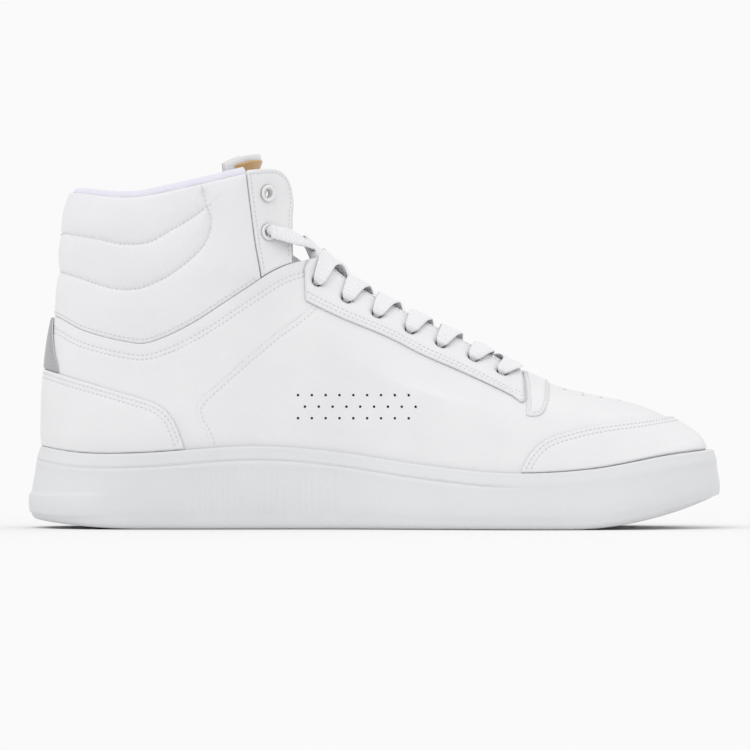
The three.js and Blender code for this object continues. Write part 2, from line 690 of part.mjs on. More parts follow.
// ---- Tongue: leather front, foam and cloth back, stitched at its toe end ------------------------
const tongueStart = 3.95;       // levels of its stitched end and of the middle of its top edge
const tongueTop = 9.42;
const topDroop = 0.3;
const tongueLean = 9.5;         // how far the middle lies in from the collar's front
const tongueFace = layers.lining[1] - tongueClearance;
const wingRoom = tongueFace - (layers.collarLining[1] - wingClearance);
function tonguePoint(alongShare, acrossShare, depth) {
  const across = acrossShare * 2 - 1;
  const u = mix(tongueStart, tongueTop - topDroop * Math.abs(across) ** 3, alongShare);
  const reach = mix(0.085, 0.118, ease(4, 5, u)) + 0.062 * ease(7, 9, u);
  const seat = mix(tongueClearance - 0.8, 0, ease(tongueStart, 4.3, u));
  const lean = tongueLean * ease(6.5, 9.2, u) * (1 - across ** 2);
  const spread = wingRoom * ease(6.5, 8, u);
  const offset = tongueFace + seat - spread - lean - depth;
  return surface(u, 0.5 + across * reach, offset).point;
}
const tonguePiece = (from, to) => patchShell(14, 10, (r, c, inside) => tonguePoint(r, c, inside ? to : from));
const foamFrom = overlayLeather + gap;
const backFrom = foamFrom + tonguePadding + gap;
addPiece('tongue_shell', tonguePiece(0, overlayLeather), finishes.leather);
addPiece('tongue_foam', tonguePiece(foamFrom, foamFrom + tonguePadding), finishes.foam);
addPiece('tongue_lining', tonguePiece(backFrom, backFrom + liningCloth), finishes.cloth);
const labelAlong = [0.85, 0.975];
const labelAcross = [0.2, 0.8];
const label = patchShell(2, 6, (r, c, inside) => tonguePoint(
  mix(...labelAlong, r),
  mix(...labelAcross, c),
  inside ? -gap : -gap - labelCloth,
));
addPiece('tongue_label', label, finishes.label);

// ---- Lace: one flat band, laced from the toe up, its ends tucked in beside the tongue -----------
const laceHoles = [...lowerEyelets, lacedRing];
const overLift = 4.1;              // how far a pass stands off the eyestay's edge
const barLift = overLift - 0.6;
const enterLift = 2.9;             // above the hole, where the band starts to gather
const faceLift = 0.4;
const underRoom = 0.9;             // between the panel and a pass under it
const underSide = layers.panel[1] - gap - laceThickness / 2 - underRoom;
const crossHigh = underSide + 1.1;
const crossRoom = 0.7;             // between two crossing passes
const crossLow = crossHigh - laceThickness - crossRoom;
const tuckRoom = 1.5;              // between the lining and a tucked end
const besideLining = layers.lining[1] - laceThickness / 2 - tuckRoom;
const behindRing = 1.6;            // how far the band comes through before it turns down

// A place that the band passes through, its width there and the direction of that width.
const laceStop = ({ point }, width, across) => ({ point, across, width });

// Along the row of eyelets, which is across the band.
function throatDirection(i) {
  const [ax, az] = laceHoles[Math.max(0, i - 1)];
  const [bx, bz] = laceHoles[Math.min(laceHoles.length - 1, i + 1)];
  return new THREE.Vector3(ax - bx, 0, az - bz).normalize();
}

// Over the edge of the eyestay, or of the flap before the ring.
const flapEdge = grade([-32.5, 124.4]);
const flapFace = grade([-38.6, 126.4]);
function overEdge(i, side) {
  if (i === lowerEyelets.length) return [seenAt(flapEdge, side, 1.6), seenAt(flapFace, side, overLift)];
  const [x] = laceHoles[i];
  return [aboveAt(x + 3.4 * gradeX, centreLine(x) + side * (throatHalf(x) - 1.2), overLift)];
}

// The lace going down into eyelet i from outside.
function intoEyelet(i, side) {
  const across = throatDirection(i);
  const hole = i === lowerEyelets.length ? ringHoleRadius : laceHoleRadius;
  const narrow = Math.min(laceWidth, 1.1 * hole);
  const [x, z] = laceHoles[i];
  return [
    ...overEdge(i, side).map((place) => laceStop(place, laceWidth, across)),
    laceStop(seenAt([x, z], side, enterLift), mix(narrow, laceWidth, 0.4), across),
    laceStop(seenAt([x, z], side, faceLift), narrow, across),
    laceStop(seenAt([x, z], side, underSide), narrow, across),
  ];
}

// From eyelet i under the eyestay to the middle of the throat.
function towardMiddle(i, side, high) {
  const [x, z] = laceHoles[i];
  const [, nextZ] = laceHoles[i + 1];
  const across = throatDirection(i);
  const under = i + 1 === laceHoles.length - 1
    ? seenAt([x + 3 * gradeX, z + 5 * gradeZ], side, underSide)
    : aboveAt(x + 1.5, centreLine(x) + side * throatHalf(x), underSide);
  const level = frontLevel((z + nextZ) / 2 + 6.5 * gradeZ);
  return [
    laceStop(under, laceWidth * 0.8, across),
    laceStop(surface(level, 0.5, high ? crossHigh : crossLow), laceWidth, across),
  ];
}

// Side-view points of a tucked end, and how much further in than the lining each one lies.
const tuckAcross = new THREE.Vector3(0.5, 0, 0.85);
const tuckedRoute = [
  [[-43, 112], 0.4], [[-34, 96], 0], [[-17, 82], 0], [[4, 71.5], 0.3], [[26, 62], 1.2], [[46, 54], 3.4],
];

// The lacing from the toe-most eyelet of one side up to a ring and down into the shoe.
function halfLace(startSide) {
  const stops = [];
  let side = startSide;
  for (let i = 0; i < laceHoles.length; i += 1) {
    stops.push(...intoEyelet(i, side));
    if (i === laceHoles.length - 1) break;
    const high = (i % 2 === 0) === (startSide < 0);
    stops.push(...towardMiddle(i, side, high));
    side = -side;
  }
  const ringAcross = throatDirection(lowerEyelets.length);
  stops.push(laceStop(seenAt(lacedRing, side, underSide - behindRing), laceWidth * 0.4, ringAcross));
  for (const [place, inward] of tuckedRoute) {
    stops.push(laceStop(seenAt(grade(place), side, besideLining - inward), laceWidth * 0.8, tuckAcross));
  }
  const last = stops[stops.length - 1];
  last.width = laceTipRadius * 2;
  return { stops, side };
}

const startMedial = halfLace(-1);
const startLateral = halfLace(1);
const barLevel = frontLevel(lowerEyelets[0][1] + 7.6 * gradeZ);
const barMiddle = laceStop(surface(barLevel, 0.5, barLift), laceWidth, throatDirection(0));
const laceStops = [...[...startLateral.stops].reverse(), barMiddle, ...startMedial.stops];
const laceCurve = new THREE.CatmullRomCurve3(laceStops.map((stop) => stop.point), false, 'centripetal');

function laceSection(t) {
  const place = t * (laceStops.length - 1);
  const i = Math.min(laceStops.length - 2, Math.floor(place));
  const share = place - i;
  const point = laceCurve.getPoint(t);
  const tangent = laceCurve.getTangent(t);
  const across = laceStops[i].across.clone().lerp(laceStops[i + 1].across, share);
  across.addScaledVector(tangent, -across.dot(tangent)).normalize();
  const normal = tangent.clone().cross(across);
  const width = mix(laceStops[i].width, laceStops[i + 1].width, share);
  return { point, tangent, across, normal, width };
}

function sweepLace(steps) {
  const corners = [[1, 1], [1, -1], [-1, -1], [-1, 1]];
  const points = [];
  for (let s = 0; s <= steps; s += 1) {
    const { point, across, normal, width } = laceSection(s / steps);
    for (const [a, n] of corners) {
      const corner = point.clone().addScaledVector(across, a * width / 2);
      points.push(corner.addScaledVector(normal, n * laceThickness / 2));
    }
  }
  const faces = [];
  for (let s = 0; s < steps; s += 1) {
    for (let k = 0; k < 4; k += 1) {
      const a = s * 4 + k;
      const b = s * 4 + (k + 1) % 4;
      faces.push(...gridFaces(a, b, b + 4, a + 4));
    }
  }
  const end = steps * 4;
  faces.push([0, 2, 1], [0, 3, 2]);
  faces.push([end, end + 1, end + 2], [end, end + 2, end + 3]);
  return solid(points, faces);
}
const stepsPerStop = 1.6;
const laceSteps = Math.round((laceStops.length - 1) * stepsPerStop);
addPiece('shoelace', sweepLace(laceSteps), finishes.lace);

for (const [end, side] of [[0, startLateral.side], [1, startMedial.side]]) {
  const { point, tangent } = laceSection(end);
  const onward = tangent.clone().multiplyScalar(end === 0 ? -1 : 1);
  const tip = new THREE.CylinderGeometry(laceTipRadius, laceTipRadius * 0.8, laceTipLength, 10);
  tip.applyQuaternion(new THREE.Quaternion().setFromUnitVectors(new THREE.Vector3(0, -1, 0), onward));
  const centre = point.clone().addScaledVector(onward, laceTipLength / 2 + gap);
  const piece = addPiece(`lace_tip_${sideName(side)}`, tip, finishes.tip);
  piece.position.copy(centre);
}

// ---- Collar eyelets: pressed rings in the ankle flaps -------------------------------------------
const ringProfile = [
  [ringHoleRadius, -flapLeather - gap],
  [ringBarrelRadius, -flapLeather - gap],
  [ringBarrelRadius, ringSeat],
  [ringFlangeRadius, ringSeat],
  [ringFlangeRadius, ringSeat + ringFlange * 0.6],
  [ringFlangeRadius - 0.5, ringSeat + ringFlange],
  [ringHoleRadius, ringSeat + ringFlange],
  [ringHoleRadius, -flapLeather - gap],
].map(([r, h]) => new THREE.Vector2(r, h));
for (const side of sides) {
  for (const [name, place] of [['laced', lacedRing], ['empty', emptyRing]]) {
    const { point, normal } = seenAt(place, side);
    const pressed = new THREE.LatheGeometry(ringProfile, 12);
    const ring = addPiece(`collar_eyelet_${name}_${sideName(side)}`, pressed, finishes.ring);
    ring.position.copy(point);
    ring.quaternion.setFromUnitVectors(new THREE.Vector3(0, 1, 0), normal);
  }
}

// Stand the shoe with the middle of its footprint at the origin.
const box = new THREE.Box3().setFromObject(shoe);
shoe.position.set(-(box.min.x + box.max.x) / 2, -(box.min.y + box.max.y) / 2, -box.min.z);

export default shoe;
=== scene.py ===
import math

import bpy
import numpy as np
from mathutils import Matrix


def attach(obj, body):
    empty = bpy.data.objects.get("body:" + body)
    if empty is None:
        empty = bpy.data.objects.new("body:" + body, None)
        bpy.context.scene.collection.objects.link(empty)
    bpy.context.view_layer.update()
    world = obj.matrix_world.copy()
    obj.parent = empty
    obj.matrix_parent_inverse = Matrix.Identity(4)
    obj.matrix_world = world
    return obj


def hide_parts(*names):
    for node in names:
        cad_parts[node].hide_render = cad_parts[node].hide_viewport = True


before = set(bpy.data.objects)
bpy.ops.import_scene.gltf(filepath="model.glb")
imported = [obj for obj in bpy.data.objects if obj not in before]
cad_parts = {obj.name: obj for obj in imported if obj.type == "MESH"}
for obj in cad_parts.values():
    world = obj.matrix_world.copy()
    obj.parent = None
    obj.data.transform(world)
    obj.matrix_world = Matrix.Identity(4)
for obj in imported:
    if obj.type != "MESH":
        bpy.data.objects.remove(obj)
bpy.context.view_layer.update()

# ==== Camera ======================================================================================
# Square to the inner side of the shoe and almost level with it, far off with a long lens, so that
# the shoe shows nearly without perspective.
VIEW_WIDTH = 0.3281
VIEW_HEIGHT = 0.0665
VIEW_DISTANCE = 4.0
VIEW_TILT = math.radians(0.4)
camera_data = bpy.data.cameras.new("camera")
camera_data.sensor_width = 36.0
camera_data.lens = camera_data.sensor_width * VIEW_DISTANCE / VIEW_WIDTH
camera_data.clip_end = 30.0
camera = bpy.data.objects.new("camera", camera_data)
camera.location = (0.0, -VIEW_DISTANCE * math.cos(VIEW_TILT),
                   VIEW_HEIGHT + VIEW_DISTANCE * math.sin(VIEW_TILT))
camera.rotation_euler = (math.pi / 2 - VIEW_TILT, 0.0, 0.0)
bpy.context.scene.collection.objects.link(camera)
bpy.context.scene.camera = camera

# ==== Floor and light =============================================================================
# A wide white floor under an even white sky, with two very soft suns that give the leather its form
# and the sole a faint shadow on the floor.
FLOOR_REACH, FLOOR_DROP, FLOOR_WHITE = 60.0, 0.0002, 0.832
floor_corners = [(x * FLOOR_REACH, y * FLOOR_REACH, -FLOOR_DROP)
                 for x, y in ((-1, -1), (1, -1), (1, 1), (-1, 1))]
floor_mesh = bpy.data.meshes.new("floor")
floor_mesh.from_pydata(floor_corners, [], [(0, 1, 2, 3)])
floor = bpy.data.objects.new("floor", floor_mesh)
bpy.context.scene.collection.objects.link(floor)
paper = bpy.data.materials.new("white_paper")
paper.use_nodes = True
paper_shader = paper.node_tree.nodes["Principled BSDF"]
paper_shader.inputs["Base Color"].default_value = (FLOOR_WHITE, FLOOR_WHITE, FLOOR_WHITE, 1)
paper_shader.inputs["Roughness"].default_value = 1.0
paper_shader.inputs["Specular IOR Level"].default_value = 0.0
floor_mesh.materials.append(paper)

# Each sun: name, angle across in degrees, strength, and the direction it shines from.
SUNS = [
    ("key", 38, 0.62, (-0.45, -0.75, 1.0)),
    ("toe_side", 50, 0.22, (1.0, 0.3, 0.9)),
]
for name, softness, strength, source in SUNS:
    light = bpy.data.lights.new(name, "SUN")
    light.angle = math.radians(softness)
    light.energy = strength
    lamp = bpy.data.objects.new(name, light)
    lamp.rotation_euler = (math.atan2(math.hypot(source[0], source[1]), source[2]), 0.0,
                           math.atan2(source[1], source[0]) + math.pi / 2)
    bpy.context.scene.collection.objects.link(lamp)

SKY_STRENGTH = 0.955
sky = bpy.data.worlds.new("sky")
sky.use_nodes = True
sky_light = sky.node_tree.nodes["Background"]
sky_light.inputs["Color"].default_value = (1.0, 1.0, 1.0, 1)
sky_light.inputs["Strength"].default_value = SKY_STRENGTH
bpy.context.scene.world = sky
bpy.context.scene.view_settings.view_transform = "Standard"

# ==== Shoelace ====================================================================================
# One flat woven cotton lace, laced from the toe up through seven pairs of punched holes and the
# lower pair of collar eyelets, its two ends tucked in beside the tongue. The shoe holds it all the way.

# The last, in millimetres: level lines from the feather edge to past the collar. Each has heel x, z,
# front x, z, half widths at heel, waist and ball, lengths of its round ends, their bluntness, its dip.
LEVELS = np.array([
    [-141.0, 19.9, 139.0, 20.6, 33.5, 34.0, 46.5, 36, 80, 2.2, 2.15, 10.0],
    [-145.0, 36.0, 142.8, 34.6, 36.0, 36.5, 48.8, 38, 84, 2.2, 2.15, 10.5],
    [-145.4, 48.0, 134.6, 43.6, 35.8, 36.5, 47.5, 38, 84, 2.2, 2.0, 8.0],
    [-145.0, 60.0, 114.0, 53.6, 34.5, 35.5, 44.8, 38, 82, 2.2, 1.9, 5.0],
    [-144.0, 72.0, 75.0, 63.2, 33.2, 34.5, 41.0, 37, 76, 2.2, 1.85, 2.0],
    [-142.4, 84.0, 36.7, 82.3, 32.4, 33.5, 36.0, 36, 66, 2.2, 2.0, 0.0],
    [-139.6, 98.0, -3.0, 103.0, 33.0, 33.5, 34.0, 36, 52, 2.2, 2.1, 0.0],
    [-138.2, 114.0, -21.0, 118.0, 35.0, 35.5, 35.5, 38, 44, 2.2, 2.2, 0.0],
    [-137.0, 131.0, -31.5, 137.0, 37.2, 37.2, 37.2, 40, 40, 2.2, 2.3, 0.0],
    [-133.4, 150.0, -35.0, 157.0, 38.6, 38.6, 38.6, 42, 38, 2.2, 2.4, 0.0],
    [-130.6, 165.0, -37.0, 173.0, 39.2, 39.2, 39.2, 42, 38, 2.2, 2.4, 0.0],
])
TOP_LEVEL = len(LEVELS) - 1
STAND = np.array([0.6, 0.633, 0.0])    # the last's origin, from the middle of the footprint
HEEL_STATION, WAIST_STATION = -112.0, -25.0
BALL_INNER, BALL_OUTER = 70.0, 52.0
WAIST_INNER, WAIST_OUTER = 0.965, 1.02    # the waist's width on each side, as a share of the level's


def ease(start, end, x):
    """Rises smoothly from 0 at start to 1 at end."""
    t = np.clip((x - start) / (end - start), 0, 1)
    return t * t * (3 - 2 * t)


def mix(a, b, t):
    return a + (b - a) * t


def hollow(x):
    """How deep a level line dips along the instep: 0 at the heel and the toe, 1 at the ball."""
    return ease(-75, 50, x) * (1 - np.clip((x - 84) / 56, 0, 1) ** 2)


def centre_line(x):
    """The y of the last's middle, which curves inward at the toe."""
    toward = np.clip((x - 20) / 122, 0, 1)
    waist = np.maximum(0, 1 - ((x + 25) / 60) ** 2)
    return -7.5 * toward ** 2 + 1.5 * waist ** 2


def level_at(u):
    """The table's values on the level line at u, smoothly between its rows."""
    u = np.clip(np.asarray(u, float), 0, TOP_LEVEL)
    i = np.minimum(u.astype(int), TOP_LEVEL - 1)
    t = (u - i)[..., None]
    p0, p1, p2, p3 = (LEVELS[np.clip(i + k, 0, TOP_LEVEL)] for k in (-1, 0, 1, 2))
    row = 0.5 * (2 * p1 + (p2 - p0) * t + (2 * p0 - 5 * p1 + 4 * p2 - p3) * t ** 2
                 + (3 * p1 - p0 - 3 * p2 + p3) * t ** 3)
    return np.moveaxis(row, -1, 0)


def half_width(level, x, side):
    """From the centre line to the surface on one side of a level line."""
    heel_x, _, front_x, _, heel_w, waist_w, ball_w, heel_end, front_end, heel_blunt, front_blunt, _ = level
    ball = np.where(side < 0, BALL_INNER, BALL_OUTER)
    to_waist = ease(HEEL_STATION, WAIST_STATION, x)
    cut = np.where(side < 0, WAIST_INNER, WAIST_OUTER)
    width = mix(heel_w, waist_w * mix(1, cut, to_waist), to_waist)
    width = mix(width, ball_w, ease(WAIST_STATION, ball, x))
    heel_side = np.clip(1 - (x - heel_x) / heel_end, 0, 1)
    front_side = np.clip(1 - (front_x - x) / front_end, 0, 1)
    heel_round = (1 - heel_side ** heel_blunt) ** (1 / heel_blunt)
    front_round = (1 - front_side ** front_blunt) ** (1 / front_blunt)
    return width * heel_round * front_round


def level_height(level, x):
    """The z of a level line at x, with its dip."""
    t = (x - level[0]) / (level[2] - level[0])
    return mix(level[1], level[3], t) - level[11] * (hollow(x) - hollow(level[2]) * t)


def last_point(u, around):
    """A point of the last; around is 0 at the heel, then the inner side, 0.5 at the toe, the outer side."""
    level = level_at(u)
    turn = np.mod(around, 1.0)
    side = np.where(turn < 0.5, -1.0, 1.0)
    x = level[0] + (level[2] - level[0]) * (1 - np.cos(2 * np.pi * turn)) / 2
    y = centre_line(x) + side * half_width(level, x, side)
    return np.stack([x, y, level_height(level, x)], -1)


def unit(vectors):
    return vectors / np.maximum(np.linalg.norm(vectors, axis=-1, keepdims=True), 1e-9)


def surface(u, around, offset=0.0):
    """Points of the last's surface moved outward by offset, and the outward normals."""
    u, around = np.broadcast_arrays(np.asarray(u, float), np.asarray(around, float))
    along = last_point(u, around + 0.004) - last_point(u, around - 0.004)
    above, below = np.minimum(u + 0.05, TOP_LEVEL), np.maximum(u - 0.05, 0)
    upward = last_point(above, around) - last_point(below, around)
    normal = unit(np.cross(along, upward))
    return last_point(u, around) + normal * np.asarray(offset, float)[..., None], normal


def bisect(low, high, too_low):
    """Where too_low turns false between low and high."""
    a, b = np.array(low, float), np.array(high, float)
    for _ in range(34):
        middle = (a + b) / 2
        low_here = too_low(middle)
        a, b = np.where(low_here, middle, a), np.where(low_here, b, middle)
    return (a + b) / 2


def around_at(u, x, side):
    """The place round a level line that has the given x on the given side."""
    level = level_at(u)
    turn = np.arccos(np.clip(1 - 2 * (x - level[0]) / (level[2] - level[0]), -1, 1)) / (2 * np.pi)
    return np.where(np.asarray(side) < 0, turn, 1 - turn)


def seen_at(x, z, side, offset=0.0):
    """The surface point that is seen from the side at x, z."""
    x, z = np.broadcast_arrays(np.asarray(x, float), np.asarray(z, float))

    def too_low(v):
        level = level_at(v)
        return (level[2] > x) & (level_height(level, x) < z)
    u = bisect(np.zeros(x.shape), np.full(x.shape, float(TOP_LEVEL)), too_low)
    return surface(u, around_at(u, x, side), offset)


def above_at(x, y, offset=0.0):
    """The surface point that is seen from above at x, y over the vamp and the throat."""
    side = -1.0 if y < 0 else 1.0
    reach = abs(y - centre_line(x))

    def too_low(v):
        level = level_at(v)
        return (level[2] > x) & (half_width(level, x, side) > reach)
    u = bisect(1.0, 8.0, too_low)
    return surface(u, around_at(u, x, side), offset)


def front_level(z):
    """The level whose front end has the height z."""
    return float(bisect(1.0, float(TOP_LEVEL), lambda v: level_at(v)[3] < z))


def spline(points, steps=64):
    """A smooth curve through given points."""
    p = np.array(points, float)
    n = len(p) - 1
    place = np.linspace(0, n, steps + 1)
    i = np.minimum(place.astype(int), n - 1)
    t = (place - i)[:, None]
    a, b, c, d = p[np.maximum(i - 1, 0)], p[i], p[i + 1], p[np.minimum(i + 2, n)]
    v0, v1 = (c - a) / 2, (d - b) / 2
    return (2 * b - 2 * c + v0 + v1) * t ** 3 + (-3 * b + 3 * c - 2 * v0 - v1) * t ** 2 + v0 * t + b


def height_through(points):
    """A smooth height over x through given points."""
    line = spline(points, 120)
    return lambda x: np.interp(x, line[:, 0], line[:, 1])


def mesh_piece(name, points, faces, materials, body, crease=50.0, face_materials=None, uv=None):
    """A mesh of points in millimetres on the last, made into a named piece that rides on a body."""
    mesh = bpy.data.meshes.new(name)
    mesh.from_pydata(((np.asarray(points) + STAND) * 0.001).tolist(), [], faces)
    mesh.polygons.foreach_set("use_smooth", np.ones(len(mesh.polygons), bool))
    mesh.set_sharp_from_angle(angle=math.radians(crease))
    for material in materials:
        mesh.materials.append(material)
    if face_materials is not None:
        mesh.polygons.foreach_set("material_index", np.asarray(face_materials, np.int32))
    if uv is not None:
        layer = mesh.uv_layers.new(name="thread")
        corner = np.zeros(len(mesh.loops), np.int32)
        mesh.loops.foreach_get("vertex_index", corner)
        layer.data.foreach_set("uv", np.asarray(uv, np.float32)[corner].ravel())
    mesh.update()
    piece = bpy.data.objects.new(name, mesh)
    bpy.context.scene.collection.objects.link(piece)
    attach(piece, body)
    return piece


class Nodes:
    """A short way to wire a procedural material."""

    def __init__(self, name):
        self.material = bpy.data.materials.new(name)
        self.material.use_nodes = True
        self.tree = self.material.node_tree
        self.shader = self.tree.nodes["Principled BSDF"]
        self.place = self.tree.nodes.new("ShaderNodeTexCoord").outputs["Object"]

    def node(self, kind, inputs=None, **settings):
        made = self.tree.nodes.new("ShaderNode" + kind)
        for key, value in settings.items():
            setattr(made, key, value)
        for key, value in (inputs or {}).items():
            if isinstance(value, bpy.types.NodeSocket):
                self.tree.links.new(value, made.inputs[key])
            else:
                made.inputs[key].default_value = value
        return made

    def noise(self, scale, detail=3.0, rough=0.5):
        inputs = {"Vector": self.place, "Scale": scale, "Detail": detail, "Roughness": rough}
        return self.node("TexNoise", inputs).outputs["Fac"]

    def cells(self, scale, feature="F1"):
        found = self.node("TexVoronoi", {"Vector": self.place, "Scale": scale}, feature=feature)
        return found.outputs["Distance"]

    def ramp(self, value, low, high, a, b):
        found = self.node("ValToRGB", {"Fac": value})
        found.color_ramp.elements[0].position = low
        found.color_ramp.elements[0].color = (*a, 1)
        found.color_ramp.elements[1].position = high
        found.color_ramp.elements[1].color = (*b, 1)
        return found.outputs["Color"]

    def math(self, operation, a, b=0.0):
        return self.node("Math", {0: a, 1: b}, operation=operation).outputs[0]

    def spread(self, value, low, high):
        return self.node("MapRange", {"Value": value, "To Min": low, "To Max": high}).outputs["Result"]

    def bump(self, height, strength, distance, under=None):
        inputs = {"Height": height, "Strength": strength, "Distance": distance}
        if under is not None:
            inputs["Normal"] = under
        return self.node("Bump", inputs).outputs["Normal"]

    def finish(self, color=None, roughness=None, normal=None, **values):
        for key, value in {"Base Color": color, "Roughness": roughness, "Normal": normal}.items():
            if value is None:
                continue
            if isinstance(value, bpy.types.NodeSocket):
                self.tree.links.new(value, self.shader.inputs[key])
            else:
                self.shader.inputs[key].default_value = value
        for key, value in values.items():
            self.shader.inputs[key.replace("_", " ")].default_value = value
        return self.material


def lace_material():
    """White cotton braid: slanting plaits across the band, seen by their ridges."""
    m = Nodes("lace_braid")
    uv = m.node("UVMap", uv_map="thread").outputs["UV"]
    parts = m.node("SeparateXYZ", {"Vector": uv})
    u, v = parts.outputs["X"], parts.outputs["Y"]

    def saw(value):
        """Back and forth between 0 and a half, once for each whole step of the value."""
        return m.math("ABSOLUTE", m.math("SUBTRACT", m.math("FRACT", value), 0.5))
    fold = saw(m.math("MULTIPLY", v, 4.0))
    plait = saw(m.math("ADD", m.math("MULTIPLY", u, 1.05), m.math("MULTIPLY", fold, 1.4)))
    rib = saw(m.math("MULTIPLY", v, 8.0))
    weave = m.math("ADD", plait, m.math("MULTIPLY", rib, 0.6))
    color = m.ramp(m.math("ADD", m.math("MULTIPLY", weave, 0.7), m.math("MULTIPLY", m.noise(900.0), 0.4)),
                   0.1, 0.9, (0.70, 0.70, 0.73), (0.86, 0.86, 0.88))
    normal = m.bump(weave, 0.5, 0.0004, m.bump(m.noise(2600.0), 0.2, 0.0002))
    return m.finish(color, 0.85, normal, Sheen_Weight=0.25, Sheen_Roughness=0.5)


LACE_WIDTH, LACE_THICKNESS = 7.5, 1.3
LACE_HOLES = [(54.3, 67), (41.8, 73.3), (27.7, 79.5), (14.4, 85.6), (0, 92.6), (-13.3, 99.3), (-26.2, 107)]
LACED_RING, EMPTY_RING = (-46.7, 128.8), (-47.2, 145.6)
LACE_STOPS = LACE_HOLES + [LACED_RING]
# The tucked ends lie beside the tongue: x, z and how far in from the lining.
TUCKED = [(-43, 112, 0.4), (-34, 96, 0), (-17, 82, 0), (4, 71.5, 0.3), (26, 62, 1.2), (46, 54, 3.4)]
LACED_HOLE_WIDTH, LACED_RING_WIDTH = 2.65, 2.3
OVER_LIFT, OVER_WIDTH = 3.2, 10.2        # where the lace turns over the eyestay's edge
UNDER_WIDTH, CROSS_WIDTH = 6.0, 9.0
LINING_INSIDE = -4.0                     # the lining's inner face, from the last
UNDER_SIDE = -3.15                       # the lace behind the eyestay
CROSS_HIGH, CROSS_LOW = -2.05, -4.05     # the two passes where they cross over the tongue
BESIDE_LINING = LINING_INSIDE - 2.15

throat_half = height_through([(-75, 20), (-45, 18), (-30, 15.5), (-10, 12.5), (20, 10.5), (48, 9.5)])


def throat_direction(i):
    """Along the throat's edge at a hole: the way across the lace there."""
    ax, az = LACE_STOPS[max(0, i - 1)]
    bx, bz = LACE_STOPS[min(len(LACE_STOPS) - 1, i + 1)]
    return unit(np.array([ax - bx, 0.0, az - bz]))


def half_lace(side):
    """The lace's stops (place, width, way across) from the lowest hole of one side to its tucked end."""
    first_side = side
    stops = []
    for i, (x, z) in enumerate(LACE_STOPS):
        across = throat_direction(i)
        ring = i == len(LACE_HOLES)
        narrow = LACED_RING_WIDTH if ring else LACED_HOLE_WIDTH
        if ring:
            stops.append((seen_at(-32.5, 124.4, side, 1.6)[0], LACE_WIDTH, across))
            stops.append((seen_at(-38.6, 126.4, side, OVER_LIFT)[0], LACE_WIDTH * 1.15, across))
        else:
            y = centre_line(x) + side * (throat_half(x) - 1.2)
            stops.append((above_at(x + 3.9, y, OVER_LIFT)[0], OVER_WIDTH, across))
        stops.append((seen_at(x, z, side, 2.6)[0], mix(narrow, LACE_WIDTH, 0.6), across))
        stops.append((seen_at(x, z, side, 0.4)[0], narrow, across))
        stops.append((seen_at(x, z, side, UNDER_SIDE)[0], narrow, across))
        if ring:
            stops.append((seen_at(x, z, side, UNDER_SIDE - 1.6)[0], UNDER_WIDTH / 2, across))
            break
        if i + 1 == len(LACE_HOLES):
            under = seen_at(x + 3, z + 5, side, UNDER_SIDE)[0]
        else:
            under = above_at(x + 1.5, centre_line(x) + side * throat_half(x), UNDER_SIDE)[0]
        stops.append((under, UNDER_WIDTH, across))
        high = (i % 2 == 0) == (first_side < 0)
        level = front_level((z + LACE_STOPS[i + 1][1]) / 2 + 6.5)
        stops.append((surface(level, 0.5, CROSS_HIGH if high else CROSS_LOW)[0], CROSS_WIDTH, across))
        side = -side
    for x, z, inward in TUCKED:
        beside = seen_at(x, z, side, BESIDE_LINING - inward)[0]
        stops.append((beside, UNDER_WIDTH, np.array([0.5, 0.0, 0.85])))
    return stops, side


def smooth_path(points, per_span):
    """Centripetal curve through 3-D points."""
    p = np.array(points, float)
    p = np.vstack([2 * p[0] - p[1], p, 2 * p[-1] - p[-2]])
    out = []
    for i in range(len(p) - 3):
        a, b, c, d = p[i:i + 4]
        t0 = 0.0
        t1 = t0 + max(np.linalg.norm(b - a), 1e-6) ** 0.5
        t2 = t1 + max(np.linalg.norm(c - b), 1e-6) ** 0.5
        t3 = t2 + max(np.linalg.norm(d - c), 1e-6) ** 0.5
        t = np.linspace(t1, t2, per_span, endpoint=i == len(p) - 4)[:, None]
        a1 = (t1 - t) / (t1 - t0) * a + (t - t0) / (t1 - t0) * b
        a2 = (t2 - t) / (t2 - t1) * b + (t - t1) / (t2 - t1) * c
        a3 = (t3 - t) / (t3 - t2) * c + (t - t2) / (t3 - t2) * d
        b1 = (t2 - t) / (t2 - t0) * a1 + (t - t0) / (t2 - t0) * a2
        b2 = (t3 - t) / (t3 - t1) * a2 + (t - t1) / (t3 - t1) * a3
        out.append((t2 - t) / (t2 - t1) * b1 + (t - t1) / (t2 - t1) * b2)
    return np.vstack(out)


def tube_faces(steps, count):
    """Faces round a tube of steps rings with count points each."""
    around = [(k, (k + 1) % count) for k in range(count)]
    return [(s * count + a, s * count + b, (s + 1) * count + b, (s + 1) * count + a)
            for s in range(steps - 1) for a, b in around]


def end_caps(steps, count):
    """The two faces that close such a tube's ends."""
    return [tuple(range(count))[::-1], tuple(range((steps - 1) * count, steps * count))]


def sweep(path, across, section):
    """Rings of the section (across, up) points along a path; returns points and faces, ends capped."""
    tangent = unit(np.gradient(path, axis=0))
    across = unit(across - (across * tangent).sum(-1, keepdims=True) * tangent)
    normal = np.cross(tangent, across)
    count = section.shape[1]
    points = path[:, None] + across[:, None] * section[..., :1] + normal[:, None] * section[..., 1:]
    return points.reshape(-1, 3), tube_faces(len(path), count) + end_caps(len(path), count)


